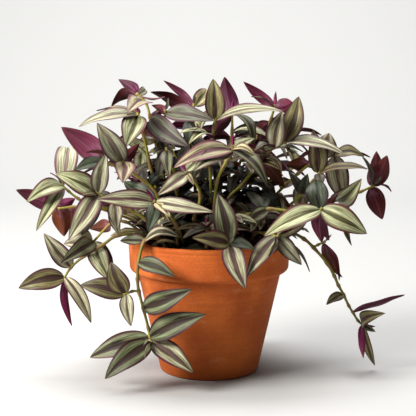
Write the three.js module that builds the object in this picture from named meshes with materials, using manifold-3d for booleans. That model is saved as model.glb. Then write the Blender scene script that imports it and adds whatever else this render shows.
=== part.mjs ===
// A tradescantia in a terracotta pot: a collared clay pot with a drain hole, the
// soil in it, and leafy stems that stand in the soil, arch over and trail.
// Millimetres, +Z up. The origin is the centre of the pot's foot on its underside.
// The plant was read from one side, so a point on a stem or a leaf tip is written
// as [across, height, depth]: where it shows on the pot's middle plane to an
// observer at OBSERVER, and how far it lies behind that plane.
import * as THREE from "three";
import { mergeVertices } from "three/addons/utils/BufferGeometryUtils.js";
import Module from "manifold-3d";

const wasm = await Module();
wasm.setup();

// Driving dimensions
const OBSERVER = new THREE.Vector3(-1, -986, 290);
const POT_HEIGHT = 125;
const POT_SIDES = 32;
const RIM_RADIUS = 75;
const COLLAR_HEIGHT = 24;
const COLLAR_TAPER = 1;
const COLLAR_LIP = 6.5;
const NECK_RADIUS = 67;
const FOOT_RADIUS = 46.5;
const EDGE_ROUND = 2.5;
const WALL = 6;
const FLOOR = 8;
const DRAIN_RADIUS = 9;

const SOIL_TOP = 113;
const SOIL_SIDES = 24;
const GAP = 0.35;

const ROOT_DEPTH = 16;
const ROOT_RISE = 4;
const STALK_SIDES = 4;
const STALK_FOOT_RADIUS = 1.9;
const STALK_TIP_RADIUS = 1.2;
const STALK_END = 2.5;

const READ_STATIONS = [0.1, 0.36, 0.72];
const RULE_STATIONS = [0.22, 0.62];
const BLADE_THICKNESS = 1;
const BLADE_FOLD = 0.28;
const BLADE_ARCH = 0.1;

const SWINGS = [0, -4, 4, -8, 8, -12, 12, -17, 17, -22, 22, -28, 28];
const AZIMUTH_SHIFTS = [0, 4, -4, 8, -8, 12, -12];
const OVERLAP = 1e-6;
const DEG = Math.PI / 180;

const CLAY = new THREE.MeshStandardMaterial({ color: 0xc0693c, roughness: 0.85, metalness: 0 });
const EARTH = new THREE.MeshStandardMaterial({ color: 0x2a2019, roughness: 1, metalness: 0 });
const LEAF = new THREE.MeshStandardMaterial({ color: 0x8f9a78, roughness: 0.45, metalness: 0 });

// The stems that were read from the plant itself. A shoot's path starts at the
// root's [x, y] on the soil, or for a side shoot at a point of the first shoot.
// Leaves are [node, tip across, height, depth, width, turn, arch]: turn is in
// degrees about the leaf's own axis, from its upper face towards the observer.
const STEMS = [
  {
    name: "stem_top_left",
    root: [-22, 8],
    path: [[-34, 150, 0], [-44, 190, -4], [-50, 215, -6], [-54, 235, -6], [-58, 249, -2], [-65, 256, 0]],
    leaves: [
      [2, -67, 222, 10, 12, 120], [2, -67, 205, -30, 14, 45], [2, -31, 206, -35, 15, -50, 0.15],
      [3, -19, 209, -40, 21, -5], [3, -38, 248, 15, 7, 170],
      [5, -83, 270.5, 18, 12, 170], [5, -90, 245, 5, 14, 140, 0.32], [4, -75, 240, -40, 22, 45, 0.15],
      [5, -40, 254.5, 5, 8, 85], [5, -58, 261, 26, 8, 0],
    ],
  },
  {
    name: "stem_left_upper",
    root: [-32, -8],
    path: [[-44, 150, -22], [-54, 190, -26], [-60, 218, -26], [-65, 238, -24]],
    leaves: [
      [3, -120, 227, -36, 19, 58, 0.1], [3, -104, 242, 0, 14, 78, 0.08],
      [3, -77, 208, -52, 22, 12], [3, -69, 246, -15, 6, 160],
    ],
  },
  {
    name: "stem_left_mid",
    root: [-34, -16],
    path: [[-42, 145, -34], [-50, 167, -42], [-60, 176.5, -46], [-73, 186.5, -50], [-79, 195, -50]],
    leaves: [
      [4, -103, 231, -62, 21, -15], [4, -114, 204, -52, 11, 115, 0.08],
      [4, -80, 175, -76, 19, 0], [4, -64, 212, -34, 10, 175],
    ],
  },
  {
    name: "stem_left_purple",
    root: [-40, 4],
    path: [[-58, 160, -12], [-78, 184, -22], [-95, 195, -28]],
    leaves: [[2, -136, 227, -18, 23, 172, 0.06], [2, -125, 186, -42, 14, 35]],
  },
  {
    name: "stem_top_centre",
    root: [0, -12],
    path: [[2, 150, -22], [1, 190, -24], [3, 216, -22], [6, 233, -18]],
    leaves: [
      [3, 3.5, 271, -14, 19, 5], [3, 68, 241, -42, 15, -52, 0.1], [2, -19, 211, -46, 14, 55, 0.28],
    ],
  },
  {
    name: "stem_top_maroon",
    root: [14, 4],
    path: [[16, 150, 2], [19, 190, 4], [21, 222, 6], [21, 238, 6]],
    leaves: [
      [3, 14, 273, 16, 19, 180], [3, 40, 204, -20, 13, -45, 0.3], [2, 46, 232, 34, 9, 0],
      [3, 3, 218, -14, 14, 160],
    ],
  },
  {
    name: "stem_top_purple",
    root: [-6, 16],
    path: [[-8, 160, 22], [-12, 200, 26], [-15, 232, 26], [-14, 246, 25]],
    leaves: [
      [3, -42, 269.5, 30, 9, 150], [3, -3, 262, 50, 15, 5], [2, -54, 259, 18, 15, 150, 0.26],
    ],
  },
  {
    name: "stem_top_silver",
    root: [-14, -2],
    path: [[-26, 160, -6], [-36, 200, -8], [-41, 228, -10], [-40, 240, -12]],
    leaves: [[3, 5, 232.5, -42, 18, -28, 0.1], [3, -53, 247, 5, 8, 165]],
  },
  {
    name: "stem_right_upper",
    root: [16, -8],
    path: [[17, 157, -24], [30, 173, -24], [40, 186, -22], [50, 199, -20], [60, 208, -18], [70, 213, -16]],
    leaves: [
      [5, 82, 255, -8, 21, -8], [5, 126, 200.5, -34, 17, -52, 0.1],
      [5, 104, 219, 8, 10, -110, 0.2], [5, 92, 194, 8, 12, -80, 0.2], [4, 87, 204, -5, 9, -70],
      [4, 67, 242, -24, 18, -5], [4, 42, 205, -30, 14, 75, 0.22],
      [3, 67, 184, -30, 12, -60, 0.2], [3, 70, 171, -10, 14, 175],
    ],
  },
  {
    name: "stem_centre",
    root: [4, -28],
    path: [[5, 150, -46], [7, 175, -54], [12, 188, -58], [18, 199, -60], [21, 206, -60]],
    leaves: [
      [4, -33, 189, -82, 19, 32, 0.17], [4, -15, 186, -90, 16, 20, 0.08],
      [4, 54, 171, -78, 16, -45, 0.2], [4, 43, 199.5, -70, 10, -50, 0.25], [4, 24, 212, -62, 5, 0],
    ],
  },
  {
    name: "stem_right_mid",
    root: [38, -12],
    path: [[58, 140, -16], [72, 152, -18], [86, 165, -18], [95, 176, -16], [101, 184, -14]],
    leaves: [
      [4, 95, 224, -6, 18, 5], [4, 147, 188, -26, 14, -58, 0.12], [4, 103, 170, -34, 10, 0],
      [2, 91, 184, -35, 13, 0], [2, 73, 186, -22, 9, 10],
    ],
  },
  {
    name: "stem_right_back",
    root: [30, 8],
    path: [
      [44, 145, 4], [58, 160, 6], [70, 173, 8], [82, 184, 8], [93, 192.5, 8], [106, 198, 8],
      [115, 201, 8],
    ],
    leaves: [
      [4, 70, 191, 2, 12, 160], [5, 110, 221.5, 14, 22, 0], [6, 143, 199.5, 8, 15, -45, 0.2],
      [6, 149, 199, 16, 8, -110], [6, 125, 158, 14, 22, 0],
    ],
  },
  {
    name: "stem_right_tip",
    root: [40, 10],
    path: [
      [60, 140, 12], [84, 150, 16], [108, 157, 18], [117, 159, 19], [130, 163, 20], [140, 167, 20],
      [150.5, 172, 20],
    ],
    leaves: [
      [6, 154, 205, 28, 16, 165], [6, 164, 201, 14, 17, 172], [6, 141, 200, 10, 10, 60],
      [6, 169, 167, 26, 8, -100, 0.2], [6, 161, 141, 10, 18, 175],
      [3, 141, 179.5, -34, 20, 15], [4, 133, 116, 8, 12, 50],
    ],
  },
  {
    name: "stem_right_front",
    root: [24, -26],
    path: [
      [30, 142, -50], [42, 147, -54], [55, 151, -56], [78, 148, -56], [93, 143.5, -56],
      [103, 150.5, -58],
    ],
    leaves: [
      [5, 51, 125, -82, 21, 28, 0.12], [5, 147, 127.5, -66, 23, -12], [5, 105, 119, -50, 15, 178],
      [5, 112, 121, -42, 13, 150], [5, 99, 178, -36, 20, 0, 0.2], [5, 120, 167, -14, 10, 180],
      [2, 33, 136, -62, 12, 10],
    ],
  },
  {
    name: "stem_rim_right",
    root: [34, -34],
    path: [[42, 128, -46], [52, 128, -60], [63, 125, -72]],
    leaves: [
      [2, 35, 86, -96, 17, 20], [2, 55, 107, -92, 8, -40], [2, 86.5, 98, -80, 15, -15],
      [2, 91, 139, -62, 13, -20], [2, 80, 131, -84, 8, -50], [2, 94.5, 91, -66, 8, -70, 0.12],
    ],
  },
  {
    name: "stem_rim_front",
    root: [8, -46],
    path: [[12, 121, -66], [18, 119, -84]],
    leaves: [
      [1, 8, 165, -70, 21, 5], [1, -16, 124, -106, 17, 15], [1, 34, 75, -102, 20, -5],
      [1, 43, 112, -90, 12, -40],
    ],
  },
  {
    name: "stem_trail_left",
    root: [-34, -32],
    path: [
      [-47, 123, -45], [-60, 121, -58], [-66, 101, -64], [-67, 85, -65], [-66, 73, -65],
      [-62, 57, -64], [-57.5, 38, -64], [-56, 29, -66], [-54, 24, -67],
    ],
    leaves: [
      [1, -26, 123, -62, 15, -50, 0.25], [1, -83, 121, -48, 11, 30], [2, -32, 87, -86, 15, -10],
      [5, -16, 75, -88, 20, -8], [7, -3, 51, -84, 22, -8], [7, -113, 9, -60, 21, 12],
      [8, -15, -6, -86, 20, -15], [8, -99, -12, -84, 22, 15], [8, -61, 8, -92, 5, 60],
    ],
    side: {
      path: [[-66, 73, -65], [-72, 73, -66], [-78, 70.5, -67]],
      leaves: [[2, -92, 101, -62, 20, -15], [2, -121, 79, -62, 19, 12], [2, -73.5, 39, -82, 13, 5]],
    },
  },
  {
    name: "stem_left_low",
    root: [-46, -8],
    path: [[-62, 128, -12], [-78, 139, -18], [-92, 136.5, -22], [-108, 120, -24]],
    leaves: [
      [3, -136, 118, -42, 22, 15, 0.25], [3, -139, 99.5, -58, 17, 10], [3, -93, 83, -46, 19, 15],
      [3, -90, 93, -22, 13, -25], [2, -111, 132, -8, 13, 170],
    ],
  },
  {
    name: "stem_left_low_tip",
    root: [-42, -22],
    path: [
      [-60, 125, -34], [-84, 126.5, -36], [-100, 116.5, -36], [-116, 107, -34], [-129, 96, -32],
      [-135, 86.5, -30],
    ],
    leaves: [
      [5, -179, 76, -34, 20, 8], [5, -111, 42, -44, 14, -15], [5, -129, 39, -34, 9, 150, 0.06],
      [4, -154, 128, -40, 17, -5],
    ],
  },
  {
    name: "stem_left_far",
    root: [-44, 10],
    path: [
      [-60, 135, 4], [-86, 150, -4], [-108, 153, -8], [-121, 160.5, -10], [-130, 167.5, -10],
      [-135, 172.5, -10],
    ],
    leaves: [
      [5, -131, 207, 42, 22, -5, 0.25], [5, -169.5, 157, -34, 18, 25, 0.2],
      [5, -161, 130, -40, 14, 20], [5, -147, 185, 0, 5, 80],
    ],
  },
  {
    name: "stem_left_back",
    root: [-36, 20],
    path: [[-60, 135, 16], [-90, 148, 14], [-112, 153, 10], [-126, 153, 8], [-138, 151.5, 6]],
    leaves: [
      [4, -179, 169, 0, 17, 170], [4, -135, 125, 10, 20, 178], [4, -124, 161, 24, 13, 178],
      [3, -129, 136, 14, 10, 178],
    ],
  },
  {
    name: "stem_left_front",
    root: [-38, -28],
    path: [[-56, 138, -42], [-74, 150, -46], [-88, 157, -50], [-103, 165.5, -52]],
    leaves: [
      [3, -142, 184, -58, 21, 18], [3, -95, 203, -48, 16, 0], [3, -131, 121, -74, 20, 10],
      [3, -119, 126, -50, 15, -10], [3, -118, 164, -66, 5, 40],
      [2, -85.5, 132, -62, 14, 0], [2, -83, 126, -40, 11, 20],
    ],
  },
  {
    name: "stem_centre_left",
    root: [-20, -38],
    path: [[-30, 135, -58], [-40, 148, -72], [-50, 157, -80]],
    leaves: [
      [2, -104, 160, -92, 18, 18, 0.06], [2, -79, 176.5, -58, 16, 25], [2, 4, 148, -106, 14, -18],
      [2, -36, 143, -98, 10, -20], [2, -36.5, 139, -88, 6, 0], [2, -57, 129.5, -96, 14, 5],
    ],
  },
  {
    name: "stem_centre_mid",
    root: [-10, -24],
    path: [[-14, 140, -44], [-8, 162, -56], [-14, 178, -64], [-20, 184, -66]],
    leaves: [[3, -48, 163.5, -88, 14, 18], [3, -14, 173, -78, 5, 0]],
  },
  {
    name: "stem_inner_left",
    root: [-18, -12],
    path: [[-26, 150, -22], [-34, 180, -30], [-39, 206, -32]],
    leaves: [[2, -37, 181, -50, 12, 0], [2, -47, 178, -38, 11, 10], [2, -64, 196, 2, 13, 170]],
  },
  {
    name: "stem_inner_top",
    root: [-8, 0],
    path: [[-12, 160, -2], [-16, 200, -6], [-19, 232, -8]],
    leaves: [[2, -21, 208, -28, 10, 0], [2, -8, 205, -26, 12, 20]],
  },
  {
    name: "stem_inner_far_left",
    root: [-28, -2],
    path: [[-40, 150, -6], [-52, 170, -12], [-65, 185, -16]],
    leaves: [[2, -62, 205, -4, 14, 5], [2, -69, 172, -34, 10, 178]],
  },
  {
    name: "stem_right_top_far",
    root: [22, 24],
    path: [[34, 160, 32], [48, 205, 36], [56, 232, 36], [60, 245, 36]],
    leaves: [
      [3, 31, 268.5, 38, 11, 172], [3, 38, 255, 26, 6, 90], [3, 76, 250, 20, 14, 178],
      [2, 41, 214, 50, 14, 160], [2, 84, 226, 44, 15, 170], [1, 66, 196, 50, 15, 160],
    ],
  },
  {
    name: "stem_trail_right",
    root: [44, -16],
    path: [
      [60, 131, -20], [76, 129, -22], [88, 123, -24], [97, 115, -24], [110, 100, -24], [117, 88, -22],
      [121, 79, -20], [126, 70, -18], [131, 59.5, -16], [135, 53, -15], [140, 45, -14], [144, 41, -14],
    ],
    leaves: [
      [9, 184, 70, -20, 12, -118, 0], [11, 166, 52, -44, 14, -20, 0.2], [11, 146, 8, -40, 8, 150, 0.03],
      [11, 157, 1, -10, 9, 20], [11, 157, 34, -22, 6, 0], [7, 110, 60, -32, 11, 30],
    ],
    side: {
      path: [[97, 115, -24], [101, 117, -22], [106, 119.5, -20]],
      leaves: [[2, 122, 83, -18, 11, -115], [2, 125, 86, -8, 11, 140]],
    },
  },
  {
    name: "stem_trail_far_left",
    root: [-20, 45],
    path: [[-24, 141, 60], [-27, 139, 78], [-28, 120, 90], [-27, 100, 90], [-25, 80, 88], [-22, 60, 86]],
    leaves: [
      [1, 6, 126, 98, 18, 170], [2, -58, 106, 84, 18, 160], [3, 2, 82, 96, 17, 185],
      [4, -48, 62, 90, 17, 170], [5, -2, 36, 96, 16, 190], [5, -40, 30, 84, 15, 165],
    ],
  },
  {
    name: "stem_trail_far_right",
    root: [24, 44],
    path: [[32, 141, 58], [37, 139, 76], [38, 121, 88], [37, 104, 89], [34, 86, 87]],
    leaves: [
      [1, 62, 124, 86, 17, 170], [2, 16, 106, 98, 17, 180], [3, 56, 80, 84, 16, 175],
      [4, 20, 58, 94, 16, 185], [4, 44, 52, 86, 15, 170],
    ],
  },
];

// The inner and far stems, which fan out by a rule. A tier's stems spread over its
// azimuths and arch out from a ring of roots to an ellipse, wide across and deep
// behind, from its low to its top, with some leaves of its length at their tips.
const TIERS = [
  {
    name: "stem_inner", stems: 6, from: 204, to: 352,
    roots: 52, wide: 57, deep: 59, low: 120, top: 146, tips: 3, leaf: 27,
  },
  {
    name: "stem_far_high", stems: 4, from: 4, to: 172,
    roots: 15, wide: 52, deep: 44, low: 131, top: 216, tips: 4, leaf: 43,
  },
  {
    name: "stem_far_mid", stems: 5, from: -4, to: 184,
    roots: 33, wide: 84, deep: 62, low: 131, top: 184, tips: 4, leaf: 43,
  },
  {
    name: "stem_far_low", stems: 5, from: -12, to: 192,
    roots: 50, wide: 88, deep: 66, low: 131, top: 148, tips: 4, leaf: 43,
  },
];
const TIER_NODES = 4;
const TIER_TURN = 6;
const TIP_SPREAD = 54;
const OLD_LEAF = 39;
const INNER_RADIUS = 45;

// A point read from the observer's side, moved along the sight line to its depth
function seen([across, height, depth]) {
  const share = (depth - OBSERVER.y) / -OBSERVER.y;
  const shown = new THREE.Vector3(across, 0, height);
  return OBSERVER.clone().lerp(shown, share);
}

// Draws from 0 to 1, the same ones for the same seed
function draws(seed) {
  let state = seed * 7919 + 17;
  const next = () => {
    state = (state * 1664525 + 1013904223) % 4294967296;
    return state / 4294967296;
  };
  next();
  next();
  return next;
}

function solidOf(geometry) {
  for (const name of Object.keys(geometry.attributes)) {
    if (name !== "position") geometry.deleteAttribute(name);
  }
  const merged = mergeVertices(geometry, 1e-4);
  return new wasm.Manifold(
    new wasm.Mesh({
      numProp: 3,
      vertProperties: merged.attributes.position.array,
      triVerts: new Uint32Array(merged.index.array),
    }),
  );
}

function meshOf(solid, name, material) {
  const { vertProperties, triVerts, numProp } = solid.getMesh();
  const geometry = new THREE.BufferGeometry()
    .setAttribute("position", new THREE.BufferAttribute(new Float32Array(vertProperties), numProp))
    .setIndex(new THREE.BufferAttribute(new Uint32Array(triVerts), 1));
  geometry.computeVertexNormals();
  const mesh = new THREE.Mesh(geometry, material);
  mesh.name = name;
  return mesh;
}

function lathe(profile, sides) {
  const points = profile.map(([r, z]) => new THREE.Vector2(r, z));
  return solidOf(new THREE.LatheGeometry(points, sides).rotateX(Math.PI / 2));
}

// A closed skin over rings of points, each ring as long as the next, between two end points
function skin(start, rings, end) {
  const points = [start, ...rings.flat(), end];
  const n = rings[0].length;
  const last = points.length - 1;
  const faces = [];
  for (let i = 0; i < n; i++) {
    const j = (i + 1) % n;
    faces.push(0, 1 + j, 1 + i);
    for (let k = 0; k < rings.length - 1; k++) {
      const a = 1 + k * n + i;
      const b = 1 + k * n + j;
      // both faces of a blade are split along the diagonal from its edge to its rib
      if (i % 2) faces.push(a, b, a + n, b, b + n, a + n);
      else faces.push(a, b, b + n, a, b + n, a + n);
    }
    faces.push(last, last - n + i, last - n + j);
  }
  const geometry = new THREE.BufferGeometry()
    .setAttribute("position", new THREE.Float32BufferAttribute(points.flatMap((p) => p.toArray()), 3))
    .setIndex(faces);
  return solidOf(geometry);
}

// The unit vector square to axis and nearest to direction
function squareTo(axis, direction) {
  return direction.clone().addScaledVector(axis, -direction.dot(axis)).normalize();
}

// A stalk along a smooth line through its nodes, thinner towards its tip
function stalk(nodes, footRadius, tipRadius) {
  const curve = new THREE.CatmullRomCurve3(nodes, false, "catmullrom", 0.5);
  let side = new THREE.Vector3(1, 0, 0);
  const rings = nodes.map((centre, k) => {
    const t = k / (nodes.length - 1);
    const along = curve.getTangent(t);
    side = squareTo(along, side);
    const other = new THREE.Vector3().crossVectors(along, side);
    const radius = footRadius + (tipRadius - footRadius) * t;
    return Array.from({ length: STALK_SIDES }, (_, i) => {
      const angle = (2 * Math.PI * i) / STALK_SIDES;
      const point = centre.clone().addScaledVector(side, radius * Math.cos(angle));
      return point.addScaledVector(other, radius * Math.sin(angle));
    });
  });
  return skin(nodes[0], rings, nodes.at(-1));
}

// Half the blade's width at s, from 0 at its foot to 1 at its tip, for a width of 1
function halfWidth(s) {
  return 0.5 * Math.sin(Math.PI * s ** 0.7) ** 0.8;
}

// A leaf blade: a thin arched skin, folded up along its rib, from foot to tip
function blade({ foot, tip, face, width, arch, stations }, more = 0) {
  const axis = tip.clone().sub(foot);
  const length = axis.length();
  axis.normalize();
  const up = squareTo(axis, face);
  const side = new THREE.Vector3().crossVectors(axis, up);
  const rings = stations.map((s) => {
    const half = (width + 2 * more) * halfWidth(s);
    const rise = arch * length * 4 * s * (1 - s);
    const rib = foot.clone().addScaledVector(axis, s * length).addScaledVector(up, rise);
    const edge = (reach) => rib.clone().addScaledVector(side, reach).addScaledVector(up, BLADE_FOLD * half);
    const above = rib.clone().addScaledVector(up, more);
    const below = rib.clone().addScaledVector(up, -BLADE_THICKNESS - more);
    return [above, edge(half), below, edge(-half)];
  });
  return skin(foot, rings, tip.clone().addScaledVector(axis, more));
}

// The direction that a leaf's upper face looks in, for its turn from the observer
function facing(foot, tip, turn) {
  const axis = tip.clone().sub(foot).normalize();
  return squareTo(axis, OBSERVER.clone().sub(foot)).applyAxisAngle(axis, turn * DEG);
}

// Where the collar ends and the pot's neck begins
const NECK_TOP = POT_HEIGHT - COLLAR_HEIGHT - COLLAR_LIP;

function potSolid() {
  const mouth = RIM_RADIUS - WALL;
  return lathe(
    [
      [DRAIN_RADIUS, 0], [FOOT_RADIUS - EDGE_ROUND, 0], [FOOT_RADIUS, EDGE_ROUND],
      [NECK_RADIUS, NECK_TOP], [RIM_RADIUS - COLLAR_TAPER - EDGE_ROUND, NECK_TOP + EDGE_ROUND],
      [RIM_RADIUS - COLLAR_TAPER, POT_HEIGHT - COLLAR_HEIGHT], [RIM_RADIUS, POT_HEIGHT - EDGE_ROUND],
      [RIM_RADIUS - EDGE_ROUND, POT_HEIGHT], [mouth + 1, POT_HEIGHT], [mouth, POT_HEIGHT - 1],
      [NECK_RADIUS - WALL, NECK_TOP], [FOOT_RADIUS - WALL, FLOOR], [DRAIN_RADIUS, FLOOR], [DRAIN_RADIUS, 0],
    ],
    POT_SIDES,
  );
}

// The soil, with a plain hole for each root
function soilSolid(roots) {
  const share = (SOIL_TOP - NECK_TOP) / (POT_HEIGHT - 1 - NECK_TOP);
  const topRadius = NECK_RADIUS - WALL + share * (RIM_RADIUS - NECK_RADIUS);
  const body = lathe(
    [
      [0, FLOOR + GAP], [FOOT_RADIUS - WALL - GAP, FLOOR + GAP], [NECK_RADIUS - WALL - GAP, NECK_TOP],
      [topRadius - GAP, SOIL_TOP], [0, SOIL_TOP],
    ],
    SOIL_SIDES,
  );
  const height = ROOT_DEPTH + GAP + ROOT_RISE;
  const radius = STALK_FOOT_RADIUS + 2 * GAP;
  const holes = roots.map(([x, y]) => {
    const hole = new THREE.CylinderGeometry(radius, radius, height, STALK_SIDES + 1).rotateX(Math.PI / 2);
    return solidOf(hole.translate(x, y, SOIL_TOP + ROOT_RISE - height / 2));
  });
  return body.subtract(wasm.Manifold.union(holes));
}

// A leaf from a foot towards a heading and a lift above level, both in radians
function leafTowards(foot, heading, lift, length, face, next) {
  const level = Math.cos(lift);
  const way = new THREE.Vector3(Math.cos(heading) * level, Math.sin(heading) * level, Math.sin(lift));
  return {
    foot, face, tip: foot.clone().addScaledVector(way, length),
    width: (0.35 + 0.06 * next()) * length, arch: 0.1 + 0.07 * next(), stations: RULE_STATIONS,
  };
}

// A stem of a tier, shifted by some degrees from its even place
function tierStem(tier, k, shift) {
  const next = draws(TIERS.indexOf(tier) * 100 + k);
  const even = tier.from + ((tier.to - tier.from) * (k + 0.5)) / tier.stems;
  const azimuth = (even + TIER_TURN * (next() - 0.5) + shift) * DEG;
  const out = new THREE.Vector3(Math.cos(azimuth), Math.sin(azimuth), 0);
  const start = out.clone().multiplyScalar(tier.roots);
  const end = new THREE.Vector3(out.x * tier.wide, out.y * tier.deep, 0).multiplyScalar(0.94 + 0.12 * next());
  const top = tier.top + 12 * (next() - 0.5);
  const nodes = Array.from({ length: TIER_NODES }, (_, i) => {
    const t = (i + 1) / TIER_NODES;
    const height = SOIL_TOP + (top - SOIL_TOP) * Math.sin((Math.PI / 2) * t);
    return start.clone().lerp(end, t ** 1.25).setZ(Math.max(height, tier.low));
  });
  const leaves = nodes.slice(0, -1).map((foot, i) => {
    const spread = (i % 2 ? 1 : -1) * (60 + 50 * next());
    return tierLeaf(tier, foot, azimuth, spread, -4, next);
  });
  for (let j = 0; j < tier.tips; j++) {
    const spread = (j - (tier.tips - 1) / 2) * TIP_SPREAD + 14 * (next() - 0.5);
    leaves.push(tierLeaf(tier, nodes.at(-1), azimuth, spread, 20 * (j % 2) - 12, next));
  }
  return { name: `${tier.name}_${k + 1}`, root: [start.x, start.y], shoots: [nodes], leaves };
}

function tierLeaf(tier, foot, azimuth, spread, lift, next) {
  const out = 0.4 + 0.5 * next();
  const face = new THREE.Vector3(out * Math.cos(azimuth), out * Math.sin(azimuth), 1);
  const length = tier.leaf * (0.88 + 0.24 * next());
  return leafTowards(foot, azimuth + spread * DEG, (lift + 28 * (next() - 0.5)) * DEG, length, face, next);
}

// Older leaves low down inside the plant, one at each inner node of a stem
function innerLeaves(nodes, seed) {
  const next = draws(seed);
  const inner = nodes.slice(0, -1).filter((node) => Math.hypot(node.x, node.y) < INNER_RADIUS);
  return inner.map((foot, i) => {
    const heading = Math.atan2(foot.y, foot.x) + (i % 2 ? 1 : -1) * (40 + 70 * next()) * DEG;
    const lift = 28 * (next() - 0.5) * DEG;
    const length = OLD_LEAF * (0.88 + 0.24 * next());
    return leafTowards(foot, heading, lift, length, new THREE.Vector3(0, -0.3, 1), next);
  });
}

// A read stem's shoots and leaves, in real places
function readStem(stem, seed) {
  const shoots = [];
  const leaves = [];
  for (const shoot of stem.side ? [stem, stem.side] : [stem]) {
    const nodes = shoot.path.map(seen);
    shoots.push(nodes);
    for (const [node, across, height, depth, width, turn, arch = BLADE_ARCH] of shoot.leaves) {
      const read = [across, height, depth];
      leaves.push({ foot: nodes[node], read, width, turn, arch, stations: READ_STATIONS });
    }
  }
  leaves.push(...innerLeaves(shoots[0], seed));
  return { name: stem.name, root: stem.root, shoots, leaves };
}

// A leaf swung aside by an amount: along the sight line at its tip in millimetres
// where it was read, so that it looks the same, and round its foot elsewhere
function swung(leaf, amount) {
  if (leaf.read) {
    const [across, height, depth] = leaf.read;
    const tip = seen([across, height, depth + amount]);
    return { ...leaf, tip, face: facing(leaf.foot, tip, leaf.turn) };
  }
  const way = leaf.tip.clone().sub(leaf.foot).applyAxisAngle(new THREE.Vector3(0, 0, 1), 2 * amount * DEG);
  return { ...leaf, tip: leaf.foot.clone().add(way) };
}

const placed = (solid, owner) => ({ solid, box: solid.boundingBox(), owner });

// Whether a solid meets any thing of another owner
function meets(solid, owner, things) {
  const box = solid.boundingBox();
  return things.some((thing) => {
    if (thing.owner === owner) return false;
    if ([0, 1, 2].some((i) => box.min[i] > thing.box.max[i] || box.max[i] < thing.box.min[i])) return false;
    return solid.intersect(thing.solid).volume() > OVERLAP;
  });
}

// A shoot's nodes with its end carried a little past the last one, where leaves are rooted
function pastEnd(nodes) {
  const [before, last] = nodes.slice(-2);
  const onward = last.clone().sub(before).setLength(STALK_END);
  return [...nodes.slice(0, -1), last.clone().add(onward)];
}

// A stem's stalks, with more or less thickness
function stalks(stem, more = 0) {
  const foot = new THREE.Vector3(stem.root[0], stem.root[1], SOIL_TOP - ROOT_DEPTH);
  const ground = foot.clone().setZ(SOIL_TOP + ROOT_RISE);
  const [main, ...sides] = stem.shoots.map(pastEnd);
  return [
    stalk([foot, ground, ...main], STALK_FOOT_RADIUS + more, STALK_TIP_RADIUS + more),
    ...sides.map((side) => stalk(side, STALK_TIP_RADIUS + more, STALK_TIP_RADIUS + more)),
  ];
}

// The stems, each clear of the pot and of the stems before it
function raiseStems(things) {
  const stems = STEMS.map(readStem);
  const isClear = (stem) => !stalks(stem, GAP).some((solid) => meets(solid, stem.name, things));
  const raise = (stem) => things.push(...stalks(stem).map((solid) => placed(solid, stem.name)));
  for (const stem of stems) {
    if (!isClear(stem)) throw new Error(`${stem.name} meets another piece`);
    raise(stem);
  }
  for (const tier of TIERS) {
    for (let k = 0; k < tier.stems; k++) {
      const shift = AZIMUTH_SHIFTS.find((degrees) => isClear(tierStem(tier, k, degrees)));
      stems.push(tierStem(tier, k, shift));
      raise(stems.at(-1));
    }
  }
  return stems;
}

// A stem's one solid. Its leaves are swung clear of all the other things, and one
// that nothing clears isn't grown.
function leafySolid(stem, things) {
  const blades = [];
  for (const leaf of stem.leaves) {
    const amount = SWINGS.find((swing) => !meets(blade(swung(leaf, swing), GAP), stem.name, things));
    if (amount === undefined) continue;
    blades.push(blade(swung(leaf, amount)));
    things.push(placed(blades.at(-1), stem.name));
  }
  return wasm.Manifold.union([...stalks(stem), ...blades]);
}

const pot = potSolid();
const things = [placed(pot, "pot")];
const stems = raiseStems(things);
const soil = soilSolid(stems.map((stem) => stem.root));
things.push(placed(soil, "soil"));

const plant = new THREE.Group();
plant.add(meshOf(pot, "pot", CLAY), meshOf(soil, "soil", EARTH));
stems.forEach((stem) => plant.add(meshOf(leafySolid(stem, things), stem.name, LEAF)));

export default plant;
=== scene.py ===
"""A tradescantia in a terracotta pot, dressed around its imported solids.

Every leafy stem is rebuilt as one finer piece that keeps its solid's form: smooth
stalks with swollen nodes, and leaves as thin folded and arched blades with pale
bands, a dark midrib stripe and a purple underside. The pot and the soil are rebuilt
the same way. A point of a stem or a leaf's tip is written as in the solids, as
(across, height, depth): where it shows on the pot's middle plane to an observer at
OBSERVER, and how far it lies behind that plane. Lengths in this file are in
millimetres, and those on the panel and in the meshes are in metres.
"""

import math

import bpy
import numpy as np
from bpy.props import FloatProperty, FloatVectorProperty, PointerProperty
from mathutils import Matrix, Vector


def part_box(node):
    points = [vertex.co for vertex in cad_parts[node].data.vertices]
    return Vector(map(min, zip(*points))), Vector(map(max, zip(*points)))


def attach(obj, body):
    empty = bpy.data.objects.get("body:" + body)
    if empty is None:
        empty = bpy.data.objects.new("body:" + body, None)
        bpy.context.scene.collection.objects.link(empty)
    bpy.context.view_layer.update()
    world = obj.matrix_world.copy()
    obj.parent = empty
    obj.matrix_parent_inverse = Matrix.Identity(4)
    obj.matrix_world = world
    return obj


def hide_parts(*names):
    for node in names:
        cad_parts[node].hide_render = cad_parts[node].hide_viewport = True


bl_info = {
    "name": "Potted Tradescantia",
    "version": (1, 0, 0),
    "blender": (4, 5, 0),
    "location": "View3D > Sidebar > Tradescantia",
    "description": "Builds a tradescantia in a terracotta pot around its packed solids",
    "category": "Add Mesh",
}

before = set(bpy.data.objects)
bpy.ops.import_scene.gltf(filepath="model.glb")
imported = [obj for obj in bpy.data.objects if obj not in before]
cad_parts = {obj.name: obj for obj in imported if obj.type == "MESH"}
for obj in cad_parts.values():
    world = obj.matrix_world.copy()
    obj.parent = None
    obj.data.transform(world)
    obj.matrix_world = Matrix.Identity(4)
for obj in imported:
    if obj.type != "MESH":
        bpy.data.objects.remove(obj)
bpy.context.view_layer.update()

MM = 0.001
BODY = "root"
UP = np.array([0.0, 0.0, 1.0])
OBSERVER = np.array([-1.0, -986.0, 290.0])

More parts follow.
